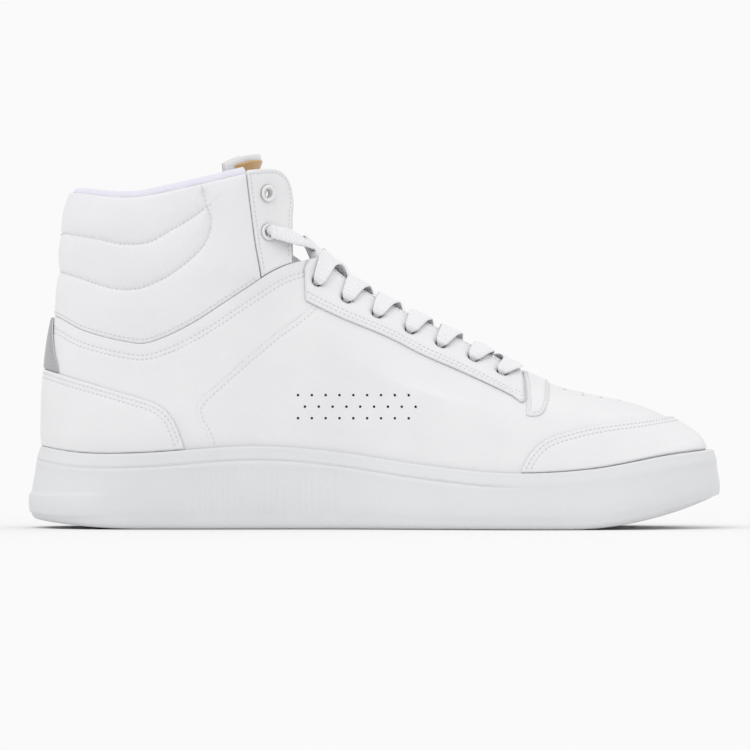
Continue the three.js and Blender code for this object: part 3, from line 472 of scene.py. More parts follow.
outer_half, outer_end = half_lace(1)
inner_half, inner_end = half_lace(-1)
bar_middle = surface(front_level(LACE_HOLES[0][1] + 5.6), 0.5, OVER_LIFT - 2.2)[0]
lace_stops = outer_half[::-1] + [(bar_middle, OVER_WIDTH, throat_direction(0))] + inner_half
SPAN_STEPS = 9
lace_path = smooth_path([s[0] for s in lace_stops], SPAN_STEPS)
place = np.linspace(0, len(lace_stops) - 1, len(lace_path))
stop_number = range(len(lace_stops))
lace_across = np.stack([np.interp(place, stop_number, [s[2][k] for s in lace_stops]) for k in range(3)], -1)
lace_widths = np.interp(place, stop_number, [s[1] for s in lace_stops])
lace_run = np.concatenate([[0], np.cumsum(np.linalg.norm(np.diff(lace_path, axis=0), axis=1))])

SECTION = 20
turn = np.linspace(0, 2 * np.pi, SECTION, endpoint=False)
flat_x = np.sign(np.cos(turn)) * np.abs(np.cos(turn)) ** 0.55
flat_y = np.sign(np.sin(turn)) * np.abs(np.sin(turn)) ** 0.75
gather = np.clip((LACE_WIDTH - lace_widths) / LACE_WIDTH, 0, 1)
thick = LACE_THICKNESS * (1 + 0.9 * gather)
cup = 0.28 * np.sin(lace_run / 17.0) + 0.35
lace_section = np.stack([
    flat_x[None] * lace_widths[:, None] / 2,
    flat_y[None] * thick[:, None] / 2 + cup[:, None] * (flat_x[None] ** 2 - 0.4) * (1 - gather[:, None]),
], -1)
lace_points, lace_faces = sweep(lace_path, lace_across, lace_section)
lace_uv = np.stack([np.repeat(lace_run, SECTION) / 2.2, np.tile(flat_x / 2 + 0.5, len(lace_path))], -1)
shoelace = mesh_piece("lace", lace_points, lace_faces, [lace_material()], "shoe", uv=lace_uv)
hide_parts("shoelace")

# ==== Lace tips ===================================================================================
# A tube of clear film shrunk onto each end of the lace, with a rolled seam along it, a crimp at its
# mouth and a drawn-in point. It is held by its own shrinkage.


def tip_material():
    m = Nodes("tip_film")
    return m.finish(m.ramp(m.noise(600.0), 0.3, 0.7, (0.74, 0.76, 0.80), (0.82, 0.83, 0.86)),
                    m.spread(m.noise(300.0), 0.12, 0.3), Coat_Weight=0.6)


TIP_LENGTH, TIP_RADIUS = 20.0, 1.5
TIP_STEPS, TIP_SIDES = 15, 18
tip_film = tip_material()
for end, side in ((0, outer_end), (-1, inner_end)):
    start = lace_path[end]
    onward = unit(lace_path[end] - lace_path[1 if end == 0 else -2])
    along = np.linspace(0, 1, TIP_STEPS)
    radius = TIP_RADIUS * (1 - 0.18 * along) * (1 + 0.05 * np.sin(along * 24) * (along < 0.3))
    radius[0] *= 0.85
    radius[-1] *= 0.55
    turn = np.linspace(0, 2 * np.pi, TIP_SIDES, endpoint=False)
    ring = np.stack([np.cos(turn), np.sin(turn)], -1) * (1 + 0.06 * (np.arange(TIP_SIDES) == 4))[:, None]
    section = radius[:, None, None] * ring[None]
    path = start + onward * (0.3 + along[:, None] * TIP_LENGTH)
    points, faces = sweep(path, np.tile([0.1, 0.2, 1.0], (TIP_STEPS, 1)), section)
    name = "medial" if side < 0 else "lateral"
    tip = mesh_piece("tip_" + name, points, faces, [tip_film], "shoe")
    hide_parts("lace_tip_" + name)

# ==== Vamp ========================================================================================
# The front panel with both side wings, cut from one piece of smooth white coated leather and lasted
# over the toe. It has a group of punched vents over the toes.


def leather(name, light, dark, rough=0.42, grain=1.0):
    """Coated leather: fine pebble grain, faint creases, and soft changes of gloss and shade."""
    m = Nodes(name)
    cloud = m.noise(22.0, 4.0, 0.6)
    color = m.ramp(cloud, 0.25, 0.75, dark, light)
    pebble = m.cells(1500.0, "SMOOTH_F1")
    pores = m.cells(3600.0)
    crease = m.noise(120.0, 6.0, 0.62)
    under = m.bump(crease, 0.10 * grain, 0.0008)
    normal = m.bump(pebble, 0.16 * grain, 0.00035, m.bump(pores, 0.08 * grain, 0.0002, under))
    gloss = m.spread(m.math("ADD", m.math("MULTIPLY", cloud, 0.5), m.math("MULTIPLY", crease, 0.5)),
                     rough - 0.07, rough + 0.09)
    return m.finish(color, gloss, normal, Coat_Weight=0.08, Coat_Roughness=0.35)


def cut_face_material():
    m = Nodes("cut_edge")
    return m.finish(m.ramp(m.noise(900.0), 0.3, 0.7, (0.55, 0.55, 0.56), (0.68, 0.68, 0.69)), 0.8,
                    m.bump(m.noise(1800.0), 0.4, 0.0003))


# A near-black painted shade for the vents' pits, standing in for the shade inside a punched hole.
def painted_vent_shade_material():
    m = Nodes("vent_painted_shade")
    return m.finish(m.ramp(m.noise(1500.0), 0.3, 0.7, (0.035, 0.035, 0.038), (0.07, 0.07, 0.075)), 0.9)


WHITE_LIGHT, WHITE_DARK = (0.78, 0.78, 0.79), (0.72, 0.72, 0.735)
white_leather = leather("white_leather", WHITE_LIGHT, WHITE_DARK)
vent_painted_shade = painted_vent_shade_material()
cut_edge = cut_face_material()


def line_field(x, z, line):
    """Signed distance from a side-view line, positive on its left."""
    best = np.full(x.shape, 1e9)
    signed = np.zeros(x.shape)
    for (ax, az), (bx, bz) in zip(line[:-1], line[1:]):
        dx, dz = bx - ax, bz - az
        length = math.hypot(dx, dz)
        if length < 1e-6:
            continue
        t = np.clip(((x - ax) * dx + (z - az) * dz) / length ** 2, 0, 1)
        away = np.hypot(x - ax - t * dx, z - az - t * dz)
        left = np.sign(dx * (z - az) - dz * (x - ax))
        closer = away < best
        best = np.where(closer, away, best)
        signed = np.where(closer, left * away, signed)
    return signed


def area_field(x, z, corners):
    """Signed distance from a closed side-view outline, positive inside."""
    corners = np.vstack([corners, corners[:1]])
    away = np.abs(line_field(x, z, corners))
    inside = np.zeros(x.shape, bool)
    for (ax, az), (bx, bz) in zip(corners[:-1], corners[1:]):
        if az != bz:
            inside ^= ((az > z) != (bz > z)) & (x < (bx - ax) * (z - az) / (bz - az) + ax)
    return np.where(inside, away, -away)


class Sheet:
    """A fine grid on part of the last, from which panels are cut along side-view lines."""

    def __init__(self, u0, u1, a0, a1, rows, columns):
        self.rows, self.columns = rows, columns
        self.u, self.a = np.meshgrid(np.linspace(u0, u1, rows), np.linspace(a0, a1, columns), indexing="ij")
        self.p, self.n = surface(self.u, self.a)
        self.x, self.y, self.z = self.p[..., 0], self.p[..., 1], self.p[..., 2]
        self.pr, self.pc = np.gradient(self.p, axis=0), np.gradient(self.p, axis=1)
        self.e = (self.pr * self.pr).sum(-1)
        self.f = (self.pr * self.pc).sum(-1)
        self.g = (self.pc * self.pc).sum(-1)
        self.det = np.maximum(self.e * self.g - self.f ** 2, 1e-9)

    def true(self, field):
        """The field as a distance along the surface, near its zero line."""
        fr, fc = np.gradient(field, axis=0), np.gradient(field, axis=1)
        slope = (self.g * fr ** 2 - 2 * self.f * fr * fc + self.e * fc ** 2) / self.det
        return field / np.sqrt(np.clip(slope, 0.004, 4.0))

    def line(self, points):
        return self.true(line_field(self.x, self.z, points))

    def area(self, corners):
        return self.true(area_field(self.x, self.z, np.asarray(corners, float)))

    def clear_of(self, centres, radius):
        """Distance outside the nearest of some round holes."""
        return np.minimum.reduce([np.linalg.norm(self.p - c, axis=-1) for c in centres]) - radius

    def throat(self, margin=0.0):
        """Distance outside the throat opening."""
        half = throat_half(self.x) + margin
        tip = THROAT_END - THROAT_ROUND
        ahead = np.maximum(self.x - tip, 0) * (half / (THROAT_ROUND + margin))
        off = np.hypot(ahead, self.y - centre_line(self.x)) - half
        over_throat = (self.u > 3.2) & (self.x > THROAT_BACK)
        return np.where(over_throat, self.true(off), 30.0)

    def cut(self, field):
        """Cuts the grid where field is positive: grid places of the corners, and the faces."""
        inside = field > 0
        number = np.full(field.shape, -1)
        number[inside] = np.arange(inside.sum())
        r, c = np.nonzero(inside)
        places = list(zip(r.astype(float), c.astype(float)))
        corners = [inside[:-1, :-1], inside[:-1, 1:], inside[1:, 1:], inside[1:, :-1]]
        count = sum(k.astype(int) for k in corners)
        fr, fc = np.nonzero(count == 4)
        whole = [number[fr, fc], number[fr, fc + 1], number[fr + 1, fc + 1], number[fr + 1, fc]]
        faces = np.stack(whole, -1).tolist()
        crossings = {}
        for r, c in zip(*np.nonzero((count > 0) & (count < 4))):
            ring = [(r, c), (r, c + 1), (r + 1, c + 1), (r + 1, c)]
            polygon = []
            for k in range(4):
                here, after = ring[k], ring[(k + 1) % 4]
                if inside[here]:
                    polygon.append(int(number[here]))
                if inside[here] != inside[after]:
                    key = (min(here, after), max(here, after))
                    if key not in crossings:
                        t = field[key[0]] / (field[key[0]] - field[key[1]])
                        t = float(np.clip(t, 0.04, 0.96))
                        crossings[key] = len(places)
                        places.append((mix(key[0][0], key[1][0], t), mix(key[0][1], key[1][1], t)))
                    polygon.append(crossings[key])
            if len(polygon) > 2:
                faces.append(polygon)
        return np.array(places), faces

    def sample(self, values, places):
        r, c = places[:, 0], places[:, 1]
        r0 = np.minimum(r.astype(int), self.rows - 2)
        c0 = np.minimum(c.astype(int), self.columns - 2)
        tr, tc = r - r0, c - c0
        if values.ndim == 3:
            tr, tc = tr[:, None], tc[:, None]
        low = values[r0, c0] * (1 - tc) + values[r0, c0 + 1] * tc
        high = values[r0 + 1, c0] * (1 - tc) + values[r0 + 1, c0 + 1] * tc
        return low * (1 - tr) + high * tr

    def trace(self, field, level=0.0, keep=None):
        """The lines where field has the level, as lists of grid places."""
        f = field - level
        inside = f > 0
        corners = inside[:-1, :-1].astype(int) + inside[:-1, 1:] + inside[1:, 1:] + inside[1:, :-1]
        links, places = {}, {}
        for r, c in zip(*np.nonzero((corners > 0) & (corners < 4))):
            if keep is not None and keep[r, c] <= 0:
                continue
            ring = [(r, c), (r, c + 1), (r + 1, c + 1), (r + 1, c)]
            keys = []
            for k in range(4):
                here, after = ring[k], ring[(k + 1) % 4]
                if inside[here] != inside[after]:
                    key = (min(here, after), max(here, after))
                    t = f[key[0]] / (f[key[0]] - f[key[1]])
                    places[key] = (mix(key[0][0], key[1][0], t), mix(key[0][1], key[1][1], t))
                    keys.append(key)
            if len(keys) == 2:
                links.setdefault(keys[0], []).append(keys[1])
                links.setdefault(keys[1], []).append(keys[0])
        lines, used = [], set()
        ends = sorted(k for k, v in links.items() if len(v) == 1) + sorted(links)
        for start in ends:
            if start in used:
                continue
            chain, here = [], start
            while here is not None:
                used.add(here)
                chain.append(places[here])
                here = next((k for k in links[here] if k not in used), None)
            if len(chain) > 4:
                lines.append(np.array(chain))
        return lines


def shell(sheet, name, field, outer, inner, material, holes=(), edge=0.9, upright=0.35):
    """A panel with real thickness: skin outside, flesh inside, and a cut edge between, rounded over the
    width edge and upright over a share of its height."""
    places, faces = sheet.cut(field)
    base, normal = sheet.sample(sheet.p, places), unit(sheet.sample(sheet.n, places))
    depth = np.clip(sheet.sample(field, places) / edge, 0, 1)
    outer_at = sheet.sample(np.broadcast_to(outer, field.shape), places)
    inner_at = sheet.sample(np.broadcast_to(inner, field.shape), places)
    rounded = mix(inner_at + upright * (outer_at - inner_at), outer_at, np.sqrt(1 - (1 - depth) ** 2))
    top, bottom = base + normal * rounded[:, None], base + normal * inner_at[:, None]
    face_materials = [0] * len(faces)
    if len(holes):
        vent_holes(sheet, field, places, top, normal, faces, face_materials, holes)
    count = len(places)
    edges = {}
    for face in faces:
        for a, b in zip(face, face[1:] + face[:1]):
            edges[(a, b)] = True
    rim = [(a, b) for a, b in edges if (b, a) not in edges]
    inside_faces = [[v + count for v in face[::-1]] for face in faces]
    rim_faces = [[b, a, a + count, b + count] for a, b in rim]
    everything = faces + inside_faces + rim_faces
    face_materials += [2] * len(inside_faces) + [2] * len(rim_faces)
    # Slot 1 is the vents' painted shade, slot 2 the cut edge and flesh side.
    return mesh_piece(name, np.vstack([top, bottom]), everything, [material, vent_painted_shade, cut_edge], "shoe",
                      face_materials=face_materials)


VENT_DEPTH = 1.1


def vent_holes(sheet, field, places, top, normal, faces, face_materials, holes):
    """Punches small pits: the eight corners round a grid corner are drawn into a circle, it sinks. The faces
    round each pit's floor take a near-black painted shade.
    """
    number = {(int(r), int(c)): i for i, (r, c) in enumerate(places) if r == int(r) and c == int(c)}
    ring = [(-1, -1), (-1, 0), (-1, 1), (0, 1), (1, 1), (1, 0), (1, -1), (0, -1)]
    centres = set()
    for place, radius in holes:
        r, c = np.unravel_index(np.argmin(((sheet.p - place) ** 2).sum(-1)), sheet.x.shape)
        around = [number.get((r + dr, c + dc)) for dr, dc in ring]
        if (r, c) not in number or None in around:
            continue
        middle = number[(r, c)]
        n = normal[middle]
        centre = top[middle] + (place - top[middle]) - n * np.dot(place - top[middle], n)
        first = unit(top[around[3]] - top[around[7]])
        second = np.cross(n, first)
        sign = 1.0 if np.dot(top[around[5]] - top[middle], second) > 0 else -1.0
        for k, corner in enumerate(around):
            dr, dc = ring[k]
            angle = math.atan2(dr * sign, dc)
            top[corner] = centre + radius * (math.cos(angle) * first + math.sin(angle) * second)
        top[middle] = centre - n * VENT_DEPTH
        centres.add(middle)
    # The faces round each pit's floor take the painted shade.
    for i, face in enumerate(faces):
        if any(v in centres for v in face):
            face_materials[i] = 1


STITCH_LENGTH, STITCH_GAP, THREAD = 1.45, 0.6, 0.24
STITCH_RISE, STITCH_DIVE = 0.34, 0.22
NEEDLE_HOLE, HOLE_LIFT, HOLE_DEPTH = 0.34, 0.25, 0.5
THREAD_SIDES = 6                          # points round the thread, and rings along a stitch


def thread_material(name, shade):
    m = Nodes(name)
    strand = m.node("TexWave", {"Vector": m.place, "Scale": 900.0, "Distortion": 2.0}).outputs["Fac"]
    return m.finish(m.ramp(strand, 0.2, 0.8, tuple(s * 0.93 for s in shade), shade), 0.6,
                    m.bump(strand, 0.3, 0.0002), Sheen_Weight=0.2)


white_thread = thread_material("white_thread", (0.70, 0.70, 0.72))
# A near-black painted shade for the needle holes, drawn with the thread material's pattern.
needle_painted_shade = thread_material("needle_hole_painted_shade", (0.055, 0.055, 0.06))


def one_stitch(at, run, line, normals):
    """The points of one stitch: rings of thread, then the rim and the bottom of its needle hole."""
    ring = np.linspace(0, 2 * np.pi, THREAD_SIDES, endpoint=False)
    path = np.stack([np.interp(at, run, line[:, k]) for k in range(3)], -1)
    up = unit(np.stack([np.interp(at, run, normals[:, k]) for k in range(3)], -1))
    hump = np.sin(np.linspace(0, np.pi, THREAD_SIDES)) ** 0.6
    path = path + up * (hump * STITCH_RISE - STITCH_DIVE)[:, None]
    tangent = unit(np.gradient(path, axis=0))
    side = np.cross(tangent, up)
    radius = THREAD * (0.55 + 0.45 * hump)
    rings = path[:, None] + radius[:, None, None] * (
        side[:, None] * np.cos(ring)[None, :, None] + up[:, None] * np.sin(ring)[None, :, None])
    hole = path[-1] + unit(path[-1] - path[-2]) * STITCH_GAP * 0.45 + up[-1] * HOLE_LIFT
    disc = hole + NEEDLE_HOLE * (unit(tangent[-1]) * np.cos(ring)[:, None] + side[-1] * np.sin(ring)[:, None])
    return np.vstack([rings.reshape(-1, 3), disc, hole - up[-1] * HOLE_DEPTH])


def stitches(name, runs, material=None):
    """Rows of lockstitch: short humps of thread that dive into needle holes at both ends, the holes in a
    near-black painted shade.
    """
    sides = THREAD_SIDES
    rim, bottom = sides * sides, sides * sides + sides
    thread_faces = [face[::-1] for face in tube_faces(sides, sides)]
    thread_faces += [tuple(range(sides)), tuple(range(rim - sides, rim))[::-1]]
    hole_faces = [tuple(range(rim, bottom))]
    hole_faces += [(rim + (k + 1) % sides, rim + k, bottom) for k in range(sides)]
    points, faces, face_materials = [], [], []
    for line, normals in runs:
        run = np.concatenate([[0], np.cumsum(np.linalg.norm(np.diff(line, axis=0), axis=1))])
        for start in np.arange(0.4, run[-1] - STITCH_LENGTH, STITCH_LENGTH + STITCH_GAP):
            first = len(points) * (bottom + 1)
            points.append(one_stitch(start + np.linspace(0, STITCH_LENGTH, sides), run, line, normals))
            faces += [tuple(first + v for v in face) for face in thread_faces + hole_faces]
            face_materials += [0] * len(thread_faces) + [1] * len(hole_faces)
    # The thread, then the needle holes' painted shade.
    both = [material or white_thread, needle_painted_shade]
    return mesh_piece(name, np.vstack(points), faces, both, "shoe", 70.0, face_materials)


def rows_on(sheet, field, level, height, keep=None):
    """Stitch rows along a level of a field, lifted to the height of the leather there."""
    runs = []
    for chain in sheet.trace(field, level, keep):
        base, normal = sheet.sample(sheet.p, chain), unit(sheet.sample(sheet.n, chain))
        lift = sheet.sample(np.broadcast_to(height, field.shape), chain)
        runs.append((base + normal * lift[:, None], normal))
    return runs


def sunk(distance, depth=0.22, width=0.8):
    """How far the thread pulls the leather in beside a stitched row."""
    return -depth * np.exp(-(distance / width) ** 2)


PANEL = 1.3
THROAT_END, THROAT_ROUND, THROAT_BACK = 60.5, 9.5, -75.0
# The sole's rim, then the two long seams: collar_seam runs from heel to toe with the collar on its left,
# quarter_seam runs up with the vamp on its right.
rim = height_through([(-151, 36.8), (-128, 33), (-101, 33), (-55, 36), (-20, 33.8), (23, 27.6), (58, 24.4),
                      (93, 26.1), (127, 32.1), (152, 35)])
collar_seam = spline([(-160, 97), (-141, 92.5), (-127, 85.8), (-109, 81.2), (-98, 81), (-80.6, 88.7),
                      (-60, 102), (-42, 113.2), (-25, 118), (-5, 121)])
quarter_seam = spline([(-70, 5), (-72, 35.7), (-77, 47), (-77, 54.5), (-63, 67.8), (-45, 83.3), (-28, 96.7),
                       (-14, 118)])
front_sheet = Sheet(0.7, 7.0, 0.16, 0.84, 175, 560)
front_creases = 0.10 * np.sin(front_sheet.x * 0.16 + front_sheet.z * 0.05) * np.exp(
    -((front_sheet.x - 66) / 22) ** 2) * np.exp(-((front_sheet.z - 52) / 18) ** 2)
below_rim = front_sheet.z - (rim(front_sheet.x) - 5)
quarter_gap = -front_sheet.line(quarter_seam)
throat_gap = front_sheet.throat()
collar_gap = -front_sheet.line(collar_seam)
HOLE_RADIUS = 2.4
SEAM_EDGE, SEAM_UPRIGHT = 0.3, 0.88      # butted seams are pressed nearly flush
hole_centres = [seen_at(x, z, side)[0] for x, z in LACE_HOLES for side in (-1, 1)]
hole_gap = front_sheet.clear_of(hole_centres, HOLE_RADIUS)
vamp_field = np.minimum.reduce([quarter_gap, throat_gap, collar_gap - 0.03, below_rim, hole_gap])
TOE_VENT, SIDE_VENT, TOE_VENT_STEP = 0.75, 0.62, 9.0
vents = []
for x, count in ((82, 3), (90, 4), (98, 3), (106, 2)):
    for k in range(count):
        offset = (k - (count - 1) / 2) * TOE_VENT_STEP
        vents.append((above_at(x, centre_line(x) + offset + 0.01)[0], TOE_VENT))
SIDE_ROWS, SIDE_COLUMNS, SIDE_STEP, SIDE_DROP = 3, 9, 6.0, 5.0
SIDE_START, SIDE_TOP = -34.0, 58.0
for side in (-1, 1):
    for row in range(SIDE_ROWS):
        for k in range(SIDE_COLUMNS):
            x = SIDE_START + (k + 0.5 * (row % 2)) * SIDE_STEP
            vents.append((seen_at(x, SIDE_TOP - row * SIDE_DROP, side)[0], SIDE_VENT))
quarter_row = front_sheet.line(quarter_seam) + 2.0
vamp = shell(front_sheet, "vamp_panel", vamp_field, front_creases + sunk(quarter_row), -PANEL, white_leather,
             holes=vents, edge=SEAM_EDGE, upright=SEAM_UPRIGHT)
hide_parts("vamp")
above_overlay = np.minimum(front_sheet.z - rim(front_sheet.x) - 1, collar_gap - 6)
quarter_rows = rows_on(front_sheet, quarter_gap, 2.0, sunk(0.0), above_overlay)
vamp_thread = stitches("vamp_thread", quarter_rows)

# ==== Quarters ====================================================================================
# The two rear side panels of the same leather, joined at the heel and under the vamp's wings. A band
# below the collar seam is sewn down with two rows.
back_sheet = Sheet(0.7, 10.0, -0.5, 0.5, 250, 700)
above_collar = back_sheet.line(collar_seam)
behind_quarter = back_sheet.line(quarter_seam)
back_throat = back_sheet.throat()
back_holes = back_sheet.clear_of(hole_centres, HOLE_RADIUS)
back_rim = back_sheet.z - (rim(back_sheet.x) - 5)
heel_creases = 0.12 * np.sin(back_sheet.x * 0.35 + back_sheet.z * 0.22) * np.exp(
    -((back_sheet.x + 78) / 16) ** 2) * np.exp(-((back_sheet.z - 72) / 12) ** 2)
BAND_ROWS = 5.0, 6.9
quarter_skin = heel_creases + sum(sunk(above_collar + row) for row in BAND_ROWS)
for side, name in ((-1, "medial"), (1, "lateral")):
    own = back_sheet.true(side * back_sheet.y - 0.12)
    field = np.minimum.reduce([behind_quarter, -above_collar - 0.03, own, back_rim, back_throat, back_holes])
    quarter = shell(back_sheet, "quarter_panel_" + name, field, quarter_skin, -PANEL, white_leather,
                    edge=SEAM_EDGE, upright=SEAM_UPRIGHT)
    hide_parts("quarter_" + name)
above_sole = back_sheet.z - rim(back_sheet.x) - 8
on_quarter = np.minimum.reduce([behind_quarter - 1.0, above_sole, back_throat - 1.5])
band_rows = []
for row in BAND_ROWS:
    band_rows += rows_on(back_sheet, above_collar, -row, sunk(0.0), on_quarter)
quarter_thread = stitches("quarter_thread", band_rows)

# ==== Collar ======================================================================================
# The padded ankle collar: soft leather drawn over foam, pulled down along the seams and the two
# quilting lines on each side of the ankle, and sewn to the quarters along its lower edge.
QUILT_UPPER = [(-136, 128.5), (-127.5, 127), (-120, 125.6), (-111, 123.7), (-102, 123.7), (-96, 125.6),
               (-89, 129.6), (-83, 133), (-77, 137), (-74.4, 139)]
QUILT_OUTER = [(-75, 146), (-73.5, 140), (-72, 136), (-71.8, 131), (-73.5, 125.6), (-76.5, 121), (-84, 114.3),
               (-92, 108.8), (-101.5, 104.8), (-109, 103.8), (-116, 104.7), (-123, 106.8), (-130, 109.2),
               (-138.4, 111.7)]
collar_leather = leather("collar_leather", (0.785, 0.785, 0.80), (0.725, 0.725, 0.745), 0.45, 1.3)
flap_seam = spline([(-49, 100), (-50.5, 112), (-52.5, 123.5), (-54.5, 138.5), (-56.4, 154.4)])
top_line = spline([(-160, 148), (-134, 146.3), (-114, 144), (-100, 144.4), (-77, 149.2), (-56, 154.2),
                   (-20, 163)])
behind_flap = back_sheet.line(flap_seam)
below_top = -back_sheet.line(top_line)
quilts = [back_sheet.line(spline(points)) for points in (QUILT_UPPER, QUILT_OUTER)]
to_stitch = np.minimum.reduce([np.abs(q) for q in quilts])
to_edge = np.minimum.reduce([above_collar, behind_flap, below_top])
PUFF = 1.3
soft = np.minimum(to_stitch * 1.3, np.maximum(to_edge, 0))
collar_puff = PUFF * (1 - np.exp(-(soft / 5.0))) - 0.35 * np.exp(-(to_stitch / 0.8) ** 2)
puckers = 0.11 * np.sin(1.9 * (back_sheet.x + 0.6 * back_sheet.z)) * np.exp(-to_stitch / 2.5) * (to_edge > 2)
collar_skin = np.where(behind_flap > 0, collar_puff + puckers, 0.0)
collar_field = np.minimum.reduce([above_collar - 0.03, behind_flap - 0.05, below_top, back_throat])
collar = shell(back_sheet, "collar_leather", collar_field, collar_skin, -PANEL, collar_leather, upright=0.6)
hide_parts("collar_shell")
on_collar = np.minimum(behind_flap - 1.5, below_top - 1.0)
quilt_rows = rows_on(back_sheet, above_collar, 1.9, collar_skin, on_collar)
for quilt in quilts:
    quilt_rows += rows_on(back_sheet, quilt, 0.0, collar_skin, np.minimum(2.0 - np.abs(quilt), on_collar))
collar_thread = stitches("collar_thread", quilt_rows)

# ==== Collar padding ==============================================================================
# Open-cell foam between the collar leather and its lining, thickest at the ankle and skived thin
# towards the seams.


def foam_material():
    m = Nodes("open_foam")
    pores = m.cells(1800.0)
    return m.finish(m.ramp(pores, 0.0, 0.6, (0.62, 0.58, 0.48), (0.86, 0.83, 0.74)), 0.95,
                    m.bump(pores, 0.6, 0.0005))


foam = foam_material()
collar_sheet = Sheet(3.8, 10.0, -0.5, 0.5, 90, 260)
collar_room = np.minimum.reduce([collar_sheet.line(collar_seam), collar_sheet.line(flap_seam),
                                 -collar_sheet.line(top_line), collar_sheet.throat()])
FOAM_SKIVED, FOAM_SWELL, FOAM_DEPTH = -1.6, 1.2, 7.0
from_seam = np.maximum(collar_room, 0)
foam_outer = FOAM_SKIVED + FOAM_SWELL * (1 - np.exp(-from_seam / 6))
foam_inner = FOAM_SKIVED - FOAM_DEPTH * np.clip(from_seam / 4 + 0.25, 0, 1) ** 0.5
collar_padding = shell(collar_sheet, "collar_padding", collar_room - 0.15, foam_outer, foam_inner, foam,
                       edge=3.0)
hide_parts("collar_foam")

# ==== Collar lining ===============================================================================
# Brushed knit cloth, rolled over the top of the padding and carried down inside the collar.


def knit(name, light, dark):
    m = Nodes(name)
    loops = m.node("TexWave", {"Vector": m.place, "Scale": 420.0, "Distortion": 3.0, "Detail": 2.0},
                   wave_type="BANDS", bands_direction="Z").outputs["Fac"]
    ribs = m.node("TexWave", {"Vector": m.place, "Scale": 420.0, "Distortion": 3.0, "Detail": 2.0},
                  wave_type="BANDS", bands_direction="X").outputs["Fac"]
    weave = m.math("MULTIPLY", loops, ribs)
    fuzz = m.noise(1600.0, 4.0, 0.7)
    color = m.ramp(m.math("ADD", m.math("MULTIPLY", weave, 0.6), m.math("MULTIPLY", fuzz, 0.5)),
                   0.15, 0.85, dark, light)
    normal = m.bump(weave, 0.35, 0.0004, m.bump(fuzz, 0.3, 0.0004))
    return m.finish(color, 0.95, normal, Sheen_Weight=0.35, Sheen_Roughness=0.6)


lining_knit = knit("lining_knit", (0.80, 0.79, 0.87), (0.68, 0.67, 0.76))
# The lining's section, as height over the collar's top line and offset from the last: over the roll and
# down the foot's side, then up again on the foam's side.
ROLL = [(-2.2, -1.5), (-0.2, -1.45), (1.3, -2.0), (2.4, -3.2), (2.9, -4.9), (2.7, -6.6), (1.7, -8.3),
        (0.1, -9.5), (-3, -10.0), (-8, -10.15), (-16, -10.1), (-26, -9.9), (-38, -9.8), (-50, -9.8)]
FOAM_SIDE = [(-50, -8.9), (-38, -8.9), (-26, -9.1), (-16, -9.3), (-8, -9.35), (-3, -9.2), (0.2, -8.7),
             (0.25, -2.3)]
LINING_STATIONS, GATHERS = 240, 0.25


def collar_place(share, rise):
    """A place round the collar (0 to 1 from the outer flap seam by the heel to the inner one)."""
    u = np.full(share.shape, 8.8)
    for _ in range(8):
        level = level_at(u)
        x_front = np.interp(level[3] - 8, flap_seam[:, 1], flap_seam[:, 0]) - 0.4
        start = around_at(u, x_front, 1) - 1.0
        stop = around_at(u, x_front, -1)
        around = mix(start, stop, share)
        p = last_point(u, around)
        bottom = np.interp(p[..., 0], collar_seam[:, 0], collar_seam[:, 1]) + 0.5
        aim = np.maximum(np.interp(p[..., 0], top_line[:, 0], top_line[:, 1]) + rise, bottom)
        u = np.clip(u + (aim - p[..., 2]) / 16.0, 4.2, TOP_LEVEL)
    return u, around


stations = np.linspace(0, 1, LINING_STATIONS)
loop_rows = []
for rise, offset in ROLL + FOAM_SIDE:
    u, around = collar_place(stations, rise)
    wave = GATHERS * np.sin(stations * 90) * (rise > -10)
    loop_rows.append(surface(u, around, offset + wave)[0])
points = np.stack(loop_rows, 1).reshape(-1, 3)
faces = tube_faces(LINING_STATIONS, len(loop_rows)) + end_caps(LINING_STATIONS, len(loop_rows))
collar_lining = mesh_piece("collar_lining_cloth", points, faces, [lining_knit], "shoe", 50.0)
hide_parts("collar_lining")

# ==== Ankle flaps =================================================================================
# A doubled leather flap on each side in front of the collar, with two pressed eyelets, turned and
# sewn round its edge.
flap_front = spline([(-36.2, 112), (-36.6, 132.7), (-36.2, 142), (-37.3, 149.4), (-39.6, 154), (-44.5, 156.4),
                     (-55.2, 155.6)])
flap_outline = np.vstack([flap_front, flap_seam[::-1] + [0.25, 0]])
in_flap = back_sheet.area(flap_outline)
RING_BARREL, FLAP_THICK, FLAP_ROW = 2.7, 2.4, 1.8
ring_places = [(name, x, z) for name, (x, z) in (("laced", LACED_RING), ("empty", EMPTY_RING))]
for side, side_name in ((-1, "medial"), (1, "lateral")):
    rings = back_sheet.clear_of([seen_at(x, z, side)[0] for _, x, z in ring_places], RING_BARREL + 0.2)
    own = side * back_sheet.y
    field = np.minimum.reduce([in_flap, above_collar - 0.1, own, rings])
    flap_skin = sunk(in_flap - FLAP_ROW, 0.3) + 0.25 * np.exp(-((in_flap - 0.6) / 0.8) ** 2)
    flap = shell(back_sheet, "flap_" + side_name, field, flap_skin, -FLAP_THICK, white_leather,
                 edge=1.2, upright=0.6)
    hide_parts("collar_flap_" + side_name)
    on_flap = np.minimum(own, above_collar - 2.5)
    rows = rows_on(back_sheet, in_flap, FLAP_ROW, sunk(0.0, 0.3), on_flap)
    flap_thread = stitches("flap_thread_" + side_name, rows)

# ==== Collar eyelets ==============================================================================
# Rings of white enamelled metal pressed into holes in each ankle flap, with a rolled face outside and a
# short barrel through the leather. The lower pair carries the lace.


def enamel_material():
    m = Nodes("white_enamel")
    wear = m.noise(260.0, 5.0, 0.7)
    color = m.ramp(wear, 0.35, 0.75, (0.78, 0.78, 0.79), (0.70, 0.70, 0.71))
    return m.finish(color, m.spread(wear, 0.16, 0.4), m.bump(m.noise(700.0), 0.06, 0.0002),
                    Coat_Weight=0.5, Coat_Roughness=0.1)


enamel = enamel_material()
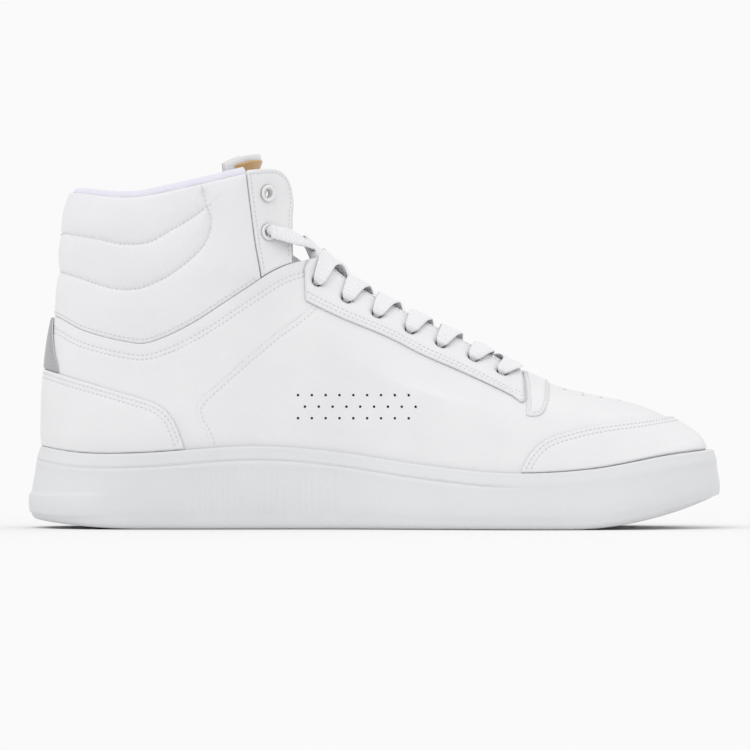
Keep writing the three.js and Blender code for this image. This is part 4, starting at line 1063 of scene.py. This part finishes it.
# The ring's section: radius, and height over the last.
RING_PROFILE = [(2.1, -2.7), (2.7, -2.7), (2.7, 0.5), (3.55, 0.5), (3.72, 0.62), (3.68, 0.85), (3.45, 1.08),
                (3.1, 1.2), (2.75, 1.16), (2.4, 1.0), (2.18, 0.7), (2.1, 0.3)]
RING_SEGMENTS = 48
for side, side_name in ((-1, "medial"), (1, "lateral")):
    for name, x, z in ring_places:
        centre, normal = seen_at(x, z, side)
        first = unit(np.cross(normal, [0.0, 0.0, 1.0]))
        second = np.cross(normal, first)
        turn = np.linspace(0, 2 * np.pi, RING_SEGMENTS, endpoint=False)
        spoke = first * np.cos(turn)[:, None] + second * np.sin(turn)[:, None]
        loops = np.stack([centre + spoke * r + normal * h for r, h in RING_PROFILE], 1)
        total = len(RING_PROFILE) * RING_SEGMENTS
        faces = [tuple(v % total for v in face) for face in tube_faces(RING_SEGMENTS + 1, len(RING_PROFILE))]
        ring = mesh_piece("ring_" + name + "_" + side_name, loops.reshape(-1, 3), faces, [enamel], "shoe",
                          60.0)
        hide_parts("collar_eyelet_" + name + "_" + side_name)

# ==== Toe overlay =================================================================================
# A toe cap of a second layer of leather, laid over the vamp, sewn along its edge with two rows and
# lasted under with it at the sole.
OVER_OUTER, OVER_INNER = 1.5, 0.3
EDGE_ROWS = 1.7, 3.6                      # the two stitch rows, from the panel's edge
above_rim = front_sheet.z - rim(front_sheet.x) - 0.15
toe_edge = spline([(60, 12), (62.3, 24.3), (67, 33.3), (75, 39.5), (92.6, 44), (115, 46.4), (135, 48.4),
                   (160, 50)])
in_toe = -front_sheet.line(toe_edge)


def sewn_edge(inward):
    """The height of an overlay drawn down along its two rows, by the distance in from its edge."""
    return OVER_OUTER + sum(sunk(inward - row) for row in EDGE_ROWS)


def edge_rows(sheet, inward, skin, keep):
    """The runs of an overlay's two stitch rows."""
    return [run for row in EDGE_ROWS for run in rows_on(sheet, inward, row, skin, keep)]


toe_field = np.minimum(in_toe, above_rim)
toe_skin = front_creases + sewn_edge(in_toe)
toe_cap = shell(front_sheet, "toe_cap", toe_field, toe_skin, OVER_INNER, white_leather)
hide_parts("toe_overlay")
toe_thread = stitches("toe_thread", edge_rows(front_sheet, in_toe, toe_skin, above_rim - 1.2))

# ==== Throat overlay ==============================================================================
# A small reinforcing panel of thin leather across the lower end of the lacing, skived at its edge and
# sewn to the vamp with one row.
THROAT_OUTER, THROAT_INNER, THROAT_ROW, THROAT_SKIVE = 1.1, 0.1, 1.7, 1.6
throat_front = spline([(65, 48.9), (71, 49.3), (74, 54), (75.4, 62.7), (75.8, 72)])
throat_outline = np.vstack([throat_front, [(63, 72), (64.7, 63.6), (65.1, 55.3)]])
in_throat = front_sheet.area(throat_outline)
throat_field = np.minimum(in_throat, throat_gap - 0.4)
throat_skin = THROAT_OUTER + sunk(in_throat - THROAT_ROW)
throat_panel = shell(front_sheet, "throat_panel", throat_field, throat_skin, THROAT_INNER, white_leather,
                     edge=THROAT_SKIVE)
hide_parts("throat_overlay")
throat_rows = rows_on(front_sheet, in_throat, THROAT_ROW, throat_skin, throat_gap - 1.5)
throat_thread = stitches("throat_thread", throat_rows)

# ==== Eyestays ====================================================================================
# The two lacing panels with seven punched holes each, sewn down along the lower edge with two rows
# and along the throat with one.
eyestay_edge = spline([(-31, 99), (-16, 91.7), (4.6, 83.1), (20, 75.3), (36, 68.3), (51.5, 61.2), (59, 57.4)])
stay_outline = np.vstack([eyestay_edge, [(63, 54.4), (64.4, 55.5), (64, 63.5), (60, 80), (0, 135), (-24, 130),
                                         (-31.5, 113.2)]])
in_stay = front_sheet.area(stay_outline)
to_edge_line = np.abs(front_sheet.line(eyestay_edge))
STAY_REACH, FRONT_ROW, HOLE_DISH = 7.5, 1.9, 0.35
apart = np.where(front_sheet.x > 50, np.abs(front_sheet.y) - STAY_REACH, 30.0)
stay_skin = sewn_edge(to_edge_line) + sunk(throat_gap - FRONT_ROW, 0.18)
stay_skin = stay_skin - HOLE_DISH * np.exp(-np.maximum(hole_gap, 0) / 0.9)
for side, name in ((-1, "medial"), (1, "lateral")):
    own = side * front_sheet.y
    field = np.minimum.reduce([in_stay, throat_gap, collar_gap - 0.2, hole_gap, apart, own])
    stay = shell(front_sheet, "eyestay_panel_" + name, field, stay_skin, OVER_INNER, white_leather)
    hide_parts("eyestay_" + name)
    on_stay = np.minimum.reduce([in_stay - 1.0, own, apart - 1.0, collar_gap - 1.5, throat_gap - 1.2])
    near_front = np.minimum(on_stay, hole_gap - 0.5)
    rows = edge_rows(front_sheet, to_edge_line, stay_skin, on_stay)
    rows += rows_on(front_sheet, throat_gap, FRONT_ROW, stay_skin, near_front)
    stay_thread = stitches("eyestay_thread_" + name, rows)

# ==== Heel overlay ================================================================================
# The heel's outer cover: one leather panel round the heel over both quarters, sewn along its upper edge
# with two rows and lasted under at the sole.
heel_edge = spline([(-160, 73), (-145.7, 69.6), (-132, 65.3), (-111, 59), (-96, 54.2), (-89, 48.5),
                    (-84.7, 39.3), (-82, 30)])
in_heel = -back_sheet.line(heel_edge)
back_above_rim = back_sheet.z - rim(back_sheet.x) - 0.15
heel_skin = sewn_edge(in_heel)
heel_field = np.minimum(in_heel, back_above_rim)
heel_cover = shell(back_sheet, "heel_cover", heel_field, heel_skin, OVER_INNER, white_leather)
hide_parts("heel_overlay")
heel_thread = stitches("heel_thread", edge_rows(back_sheet, in_heel, heel_skin, back_above_rim - 1.2))

# ==== Heel tab ====================================================================================
# A plain pale grey leather tab up the back of the heel, between the heel's cover and the collar, sewn
# down round its edge with grey thread.
TAB_ROW = 1.5
grey_leather = leather("grey_leather", (0.375, 0.38, 0.385), (0.32, 0.325, 0.33), 0.38, 1.2)
grey_thread = thread_material("grey_thread", (0.50, 0.50, 0.51))
tab_front = spline([(-137, 60), (-138.4, 70.5), (-139.8, 76), (-140.8, 85), (-140.6, 99)])
in_tab = np.minimum.reduce([back_sheet.line(tab_front), -in_heel - 0.2, -above_collar - 0.2])
tab_skin = OVER_OUTER + sunk(in_tab - TAB_ROW)
heel_tab = shell(back_sheet, "heel_tab_leather", in_tab, tab_skin, OVER_INNER, grey_leather)
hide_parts("heel_tab")
tab_thread = stitches("heel_tab_thread", rows_on(back_sheet, in_tab, TAB_ROW, tab_skin), grey_thread)

# ==== Toe puff and heel counter ===================================================================
# Moulded stiffeners of resin-filled fibre round the toe and the heel, cemented between the leather and
# the lining.


def fibre_material(name, light, dark):
    m = Nodes(name)
    fibres = m.noise(500.0, 8.0, 0.75)
    return m.finish(m.ramp(fibres, 0.3, 0.7, dark, light), 0.85, m.bump(fibres, 0.3, 0.0004))


stiffener_fibre = fibre_material("stiffener_fibre", (0.70, 0.66, 0.58), (0.58, 0.54, 0.46))
STIFF_OUTER, STIFF_INNER = -1.6, -2.8
puff_line = spline([(84, 5), (88, 30), (98, 44), (112, 60)])
counter_line = spline([(-160, 76), (-140, 74), (-110, 62), (-88, 46), (-82, 5)])
stiff_sheet = Sheet(0.0, 4.6, 0.2, 0.8, 70, 240)
counter_sheet = Sheet(0.0, 4.6, -0.3, 0.3, 70, 240)
puff = shell(stiff_sheet, "toe_stiffener", -stiff_sheet.line(puff_line), STIFF_OUTER, STIFF_INNER,
             stiffener_fibre)
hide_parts("toe_puff")
counter = shell(counter_sheet, "heel_stiffener", -counter_sheet.line(counter_line), STIFF_OUTER, STIFF_INNER,
                stiffener_fibre)
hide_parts("heel_counter")

# ==== Upper lining ================================================================================
# The knit cloth cemented inside the vamp and quarters, ending short of the throat and sewn to the
# collar lining along the collar seam.
LINING_OUTSIDE, THROAT_MARGIN = -3.1, 13.0
cuff_sheet = Sheet(0.0, 7.0, -0.5, 0.5, 100, 320)
lining_field = np.minimum(cuff_sheet.throat(THROAT_MARGIN), -cuff_sheet.line(collar_seam) - 0.2)
upper_lining = shell(cuff_sheet, "upper_lining_cloth", lining_field, LINING_OUTSIDE, LINING_INSIDE,
                     lining_knit)
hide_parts("upper_lining")

# ==== Cup sole ====================================================================================
# One moulded cup of white rubber, cemented and stitched to the upper, with a grooved line below its
# rim, a bumper lip round the heel, fine ribs along the waist and a herringbone tread.
COLUMNS = 960
CUP_FLOOR, GAP = 5.0, 0.3
RIB_PITCH, RIB_DEPTH = 2.6, 0.3
GROOVE_DROP, GROOVE_DEPTH = 6.3, 0.6


def ground(x):
    """The tread's height: flat on the floor, rising at the toe and a little at the heel."""
    toe = np.clip((x - 84) / 66.5, 0, 1.2)
    heel = np.clip((-100 - x) / 50, 0, 1.2)
    return 15.3 * toe ** 1.9 + 4 * heel ** 2


ring_share = np.arange(COLUMNS) / COLUMNS
edge_point, edge_normal = surface(np.ones(COLUMNS), ring_share)
edge_normal = unit(edge_normal * [1, 1, 0])
at_toe = ease(110, 140, edge_point[:, 0])
at_heel = ease(-100, -140, edge_point[:, 0])
bumper = 5 + 1.2 * at_heel + 2.2 * at_toe
rim_out = 3 + 1.6 * at_toe - ease(-110, -140, edge_point[:, 0])
edge_run = np.concatenate([[0], np.cumsum(np.linalg.norm(np.diff(edge_point, axis=0), axis=1))])


def wall_row(share, outward=None, rounded=0.0):
    """One line round the wall at a share of its height, with the moulded relief."""
    low, high = ground(edge_point[:, 0]), rim(edge_point[:, 0])
    z = mix(low, high, share)
    if outward is None:
        v = np.clip((z - low) / (high - low), 0, 1)
        foot = bumper - 0.4
        belly = mix(foot, bumper, ease(0.08, 0.25, v))
        waist = mix(bumper, rim_out, 0.55)
        outward = np.where(v < 0.25, belly, mix(bumper, waist, ease(0.25, 0.78, v)))
        outward = np.where(v > 0.78, mix(waist, rim_out, ease(0.78, 1.0, v)), outward)
        below = high - z
        groove = GROOVE_DEPTH * np.exp(-((below - GROOVE_DROP) / 0.55) ** 2)
        groove = groove * (1 - ease(45, 68, edge_point[:, 0]))
        lip = 0.9 * ease(4, 6, z) * (1 - ease(14, 16, z)) * ease(-112, -132, edge_point[:, 0])
        in_ribs = ease(-84, -80, edge_point[:, 0]) * (1 - ease(-18, -13, edge_point[:, 0]))
        in_ribs = in_ribs * ease(5, 7, z) * (1 - ease(25, 27, z))
        ribs = RIB_DEPTH * in_ribs * (0.5 - 0.5 * np.cos(2 * np.pi * edge_run / RIB_PITCH))
        outward = outward - groove + lip - ribs - rounded
    base = edge_point + edge_normal * np.broadcast_to(outward, z.shape)[:, None]
    return np.stack([base[:, 0], base[:, 1], z], -1)


def turned_row(height, outward):
    """A line round the cup whose height follows the x of its own points."""
    base = edge_point + edge_normal * np.broadcast_to(outward, (COLUMNS,))[:, None]
    return np.stack([base[:, 0], base[:, 1], height(base[:, 0])], -1)


def stacked(rows, across, bottom_relief=None):
    """A closed stack of outlines with finely ruled faces across the first and the last."""
    columns = len(rows[0])
    points = [np.vstack(rows)]
    faces = tube_faces(len(rows), columns)
    total = len(rows) * columns
    for row, flip in ((0, True), (len(rows) - 1, False)):
        first = row * columns
        half = columns // 2
        strips = [[first]]
        for c in range(1, half):
            left, right = rows[row][c], rows[row][columns - c]
            t = np.linspace(0, 1, across + 1)[1:-1, None]
            inner = left + (right - left) * t
            if flip and bottom_relief is not None:
                inward = np.linalg.norm(right - left) * np.minimum(t[:, 0], 1 - t[:, 0])
                inner[:, 2] += bottom_relief(inner, inward)
            points.append(inner)
            strips.append([first + c] + list(range(total, total + across - 1)) + [first + columns - c])
            total += across - 1
        strips.append([first + half])
        for a, b in zip(strips[:-1], strips[1:]):
            for k in range(across):
                last_a, last_b = len(a) - 1, len(b) - 1
                quad = [a[min(k, last_a)], b[min(k, last_b)], b[min(k + 1, last_b)], a[min(k + 1, last_a)]]
                quad = [v for i, v in enumerate(quad) if v not in quad[:i]]
                if len(quad) > 2:
                    faces.append(quad[::-1] if not flip else quad)
    return np.vstack(points), faces


TREAD_DEPTH, TREAD_PITCH, TREAD_WIDTH, TREAD_SLANT = 1.3, 6.4, 9.0, 6.0


def tread(p, inward):
    """Herringbone grooves, which stop short of the tread's edge."""
    zigzag = np.abs(np.mod(p[:, 1] / TREAD_WIDTH, 2.0) - 1.0) * TREAD_SLANT
    wave = np.sin(2 * np.pi * (p[:, 0] + zigzag) / TREAD_PITCH)
    return TREAD_DEPTH * ease(0.1, 0.5, wave) * ease(5.0, 7.0, inward)


def rubber_material():
    """White vulcanised rubber: matt, faintly speckled, a little greyer where it is handled."""
    m = Nodes("white_rubber")
    speck = m.noise(1400.0, 2.0, 0.6)
    cloud = m.noise(14.0, 4.0, 0.6)
    mixed = m.math("ADD", m.math("MULTIPLY", speck, 0.3), m.math("MULTIPLY", cloud, 0.7))
    color = m.ramp(mixed, 0.3, 0.7, (0.648, 0.652, 0.664), (0.715, 0.72, 0.732))
    normal = m.bump(speck, 0.12, 0.0003, m.bump(m.noise(160.0, 4.0), 0.06, 0.0006))
    return m.finish(color, m.spread(mixed, 0.46, 0.62), normal)


def over_ground(lift):
    return lambda x: ground(x) + lift


# The turned foot of the wall: height over the ground, and how far inside the bumper.
FOOT = [(0.0, 2.6), (0.25, 1.7), (0.9, 0.85), (2.2, 0.4)]
sole_rows = [turned_row(over_ground(lift), bumper - inside) for lift, inside in FOOT]
sole_rows += [wall_row(share) for share in np.linspace(0.12, 0.965, 56)]
sole_rows += [wall_row(0.985, rounded=0.12), wall_row(0.997, rounded=0.45), wall_row(1.0, rim_out - 1.0),
              wall_row(1.0, GAP + 0.5), wall_row(0.99, GAP), turned_row(over_ground(CUP_FLOOR), GAP)]
points, faces = stacked(sole_rows, 64, tread)
cup_sole = mesh_piece("cup_sole", points, faces, [rubber_material()], "shoe", 45.0)
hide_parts("outsole")

# ==== Foam wedge, board and footbed ===============================================================
# Inside the cup: a foam wedge under the heel, the fibre board that the upper is lasted to, and the
# loose foam footbed with its cloth top.
WEDGE_BOTTOM, WEDGE_HEEL, WEDGE_FORE = CUP_FLOOR + GAP, 13.7, 3.7
INNER_EDGE = LINING_INSIDE - GAP


def inner_row(u, outward, height):
    """A line round the inside of the shoe, on the level u moved outward, at a height over x."""
    columns = 400
    p, n = surface(np.full(columns, u), np.arange(columns) / columns)
    p = p + unit(n * [1, 1, 0]) * outward
    p[:, 2] = height(p[:, 0])
    return p


def wedge_top(x):
    return ground(x) + WEDGE_BOTTOM + mix(WEDGE_HEEL, WEDGE_FORE, ease(-75, 50, x))


def over_wedge(lift):
    return lambda x: wedge_top(x) + lift


eva = foam_material()
points, faces = stacked([inner_row(0, INNER_EDGE - 0.6, over_ground(WEDGE_BOTTOM)),
                         inner_row(0, INNER_EDGE, over_ground(WEDGE_BOTTOM + 0.6)),
                         inner_row(0, INNER_EDGE, over_wedge(-0.6)),
                         inner_row(0, INNER_EDGE - 0.6, wedge_top)], 24)
wedge = mesh_piece("foam_wedge", points, faces, [eva], "shoe")
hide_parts("midsole_wedge")

BOARD_THICK = 1.5
board_fibre = fibre_material("board_fibre", (0.66, 0.58, 0.42), (0.55, 0.47, 0.33))
points, faces = stacked([inner_row(0, INNER_EDGE, over_wedge(GAP)),
                         inner_row(0, INNER_EDGE, over_wedge(GAP + BOARD_THICK - 0.3)),
                         inner_row(0, INNER_EDGE - 0.4, over_wedge(GAP + BOARD_THICK))], 24)
lasting_board = mesh_piece("lasting_board", points, faces, [board_fibre], "shoe")
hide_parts("insole_board")

SOCK_BOTTOM, SOCK_LEVEL, SOCK_EDGE = 2 * GAP + BOARD_THICK, 0.15, INNER_EDGE - 1.6
CLOTH_START = 3.4
# The footbed's rounded section: height over its bottom, and how far in from its edge.
SOCK_SECTION = [(0.0, 0.5), (0.5, 0.0), (3.6, 0.0), (4.2, 0.3), (4.5, 1.0), (4.3, 5.0)]
sock_rows = [inner_row(SOCK_LEVEL, SOCK_EDGE - inside, over_wedge(SOCK_BOTTOM + lift))
             for lift, inside in SOCK_SECTION]
points, faces = stacked(sock_rows, 30)
footbed_cloth = knit("footbed_cloth", (0.84, 0.84, 0.87), (0.74, 0.74, 0.78))
over_bottom = points[:, 2] - over_wedge(SOCK_BOTTOM)(points[:, 0])
cloth_faces = [int(np.mean(over_bottom[list(face)]) > CLOTH_START) for face in faces]
footbed = mesh_piece("footbed_pad", points, faces, [eva, footbed_cloth], "footbed",
                     face_materials=cloth_faces)
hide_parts("sockliner")

# ==== Tongue ======================================================================================
# A padded tongue sewn in at the toe end of the throat: leather in front, foam, and a knit back that
# is bound over its edge. It leans in behind the lace and stands up above the collar.
TONGUE_FACE = LINING_INSIDE - 2.3
WING_ROOM = TONGUE_FACE - (-9.8 - 1.3)


def tongue_point(along, across, depth):
    """A point of the tongue: along 0 at its sewn end to 1, across 0 to 1, and a depth behind its face."""
    k = np.asarray(across) * 2 - 1
    u = mix(3.95, 9.42 - 0.24 * np.abs(k) ** 3, along)
    reach = mix(0.085, 0.118, ease(4, 5, u)) + 0.062 * ease(7, 9, u)
    seat = mix(1.5, 0, ease(3.95, 4.3, u))
    lean = (9.5 * ease(6.5, 8.7, u) - 5.5 * ease(8.7, 9.4, u)) * (1 - k ** 2)
    return surface(u, 0.5 + k * reach, TONGUE_FACE + seat - WING_ROOM * ease(6.5, 8, u) - lean - depth)[0]


def closed_layer(front, back):
    """Points and faces of a closed layer between two grids of points."""
    loops = np.concatenate([front, back[:, ::-1]], 1)
    steps, count = loops.shape[:2]
    faces = [face[::-1] for face in tube_faces(steps, count)]
    for row, flip in ((0, False), (steps - 1, True)):
        for k in range(count // 2 - 1):
            near, far = row * count + k, (row + 1) * count - 1 - k
            quad = (near, near + 1, far - 1, far)
            faces.append(quad[::-1] if flip else quad)
    return loops.reshape(-1, 3), faces


def tongue_layer(front, back, rows=150, columns=64):
    """A closed layer of the tongue between two depths that may vary over it."""
    along, across = np.meshgrid(np.linspace(0, 1, rows), np.linspace(0, 1, columns), indexing="ij")
    return closed_layer(*(tongue_point(along, across, depth(along, across)) for depth in (front, back)))


def rim_fall(along, across, width=0.05):
    """0 in the middle of the tongue, rising to 1 at its side and top edges."""
    side = np.minimum(across, 1 - across) / width
    top = (1 - along) / (width * 0.35)
    near = np.clip(np.minimum(side, top), 0, 1)
    return (1 - near) ** 2


tongue_leather = leather("tongue_leather", (0.765, 0.765, 0.785), (0.70, 0.70, 0.72), 0.45, 1.3)
FRONT_DEPTH, PAD_DEPTHS, BACK_DEPTHS = 1.2, (1.5, 6.0), (6.3, 7.2)


def crown(along, across):
    """How far the padding swells the leather."""
    return 0.7 * np.sin(np.pi * np.clip(across, 0, 1)) * ease(0.05, 0.3, along)


def channel(along, across):
    """The two sewn channels down the tongue's face."""
    return 0.5 * np.exp(-((np.abs(across - 0.5) - 0.32) / 0.018) ** 2) * ease(0.1, 0.2, along)


points, faces = tongue_layer(lambda r, c: 0.5 * rim_fall(r, c) - crown(r, c) + channel(r, c),
                             lambda r, c: FRONT_DEPTH)
tongue_front = mesh_piece("tongue_leather_front", points, faces, [tongue_leather], "tongue")
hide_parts("tongue_shell")

points, faces = tongue_layer(lambda r, c: PAD_DEPTHS[0] + 0.8 * rim_fall(r, c),
                             lambda r, c: PAD_DEPTHS[1] - 0.8 * rim_fall(r, c), 90, 40)
tongue_pad = mesh_piece("tongue_padding", points, faces, [foam], "tongue")
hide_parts("tongue_foam")

points, faces = tongue_layer(lambda r, c: BACK_DEPTHS[0],
                             lambda r, c: BACK_DEPTHS[1] + 0.3 * crown(r, c) - 0.5 * rim_fall(r, c))
tongue_back = mesh_piece("tongue_knit_back", points, faces, [lining_knit], "tongue")
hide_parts("tongue_lining")

# ==== Tongue label ================================================================================
# A plain label of gold woven ribbon with a folded hem, sewn flat across the tongue's face near its top.
# It carries no mark.


def label_material():
    m = Nodes("gold_weave")
    warp = m.node("TexWave", {"Vector": m.place, "Scale": 900.0}, bands_direction="Y").outputs["Fac"]
    weft = m.node("TexWave", {"Vector": m.place, "Scale": 700.0}, bands_direction="Z").outputs["Fac"]
    weave = m.math("MULTIPLY", warp, weft)
    return m.finish(m.ramp(weave, 0.1, 0.8, (0.62, 0.34, 0.11), (0.82, 0.50, 0.20)), 0.55,
                    m.bump(weave, 0.5, 0.0003), Sheen_Weight=0.4)


LABEL_ALONG, LABEL_ACROSS = (0.85, 0.975), (0.07, 0.93)
LABEL_LIFT, LABEL_THICK, LABEL_HEM = 0.2, 0.5, 0.12
along, across = np.meshgrid(np.linspace(*LABEL_ALONG, 60), np.linspace(*LABEL_ACROSS, 90), indexing="ij")
end_edge = np.minimum(along - LABEL_ALONG[0], LABEL_ALONG[1] - along) * 6
side_edge = np.minimum(across - LABEL_ACROSS[0], LABEL_ACROSS[1] - across)
to_label_edge = np.minimum(end_edge, side_edge)
hem = LABEL_HEM * np.exp(-((to_label_edge - 0.05) / 0.02) ** 2)
under = crown(along, across) + LABEL_LIFT
rounded = 0.3 * np.clip(1 - to_label_edge / 0.02, 0, 1)
points, faces = closed_layer(tongue_point(along, across, rounded - under - LABEL_THICK - hem),
                             tongue_point(along, across, -under))
label = mesh_piece("label_weave_patch", points, faces, [label_material()], "tongue", 70.0)
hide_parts("tongue_label")
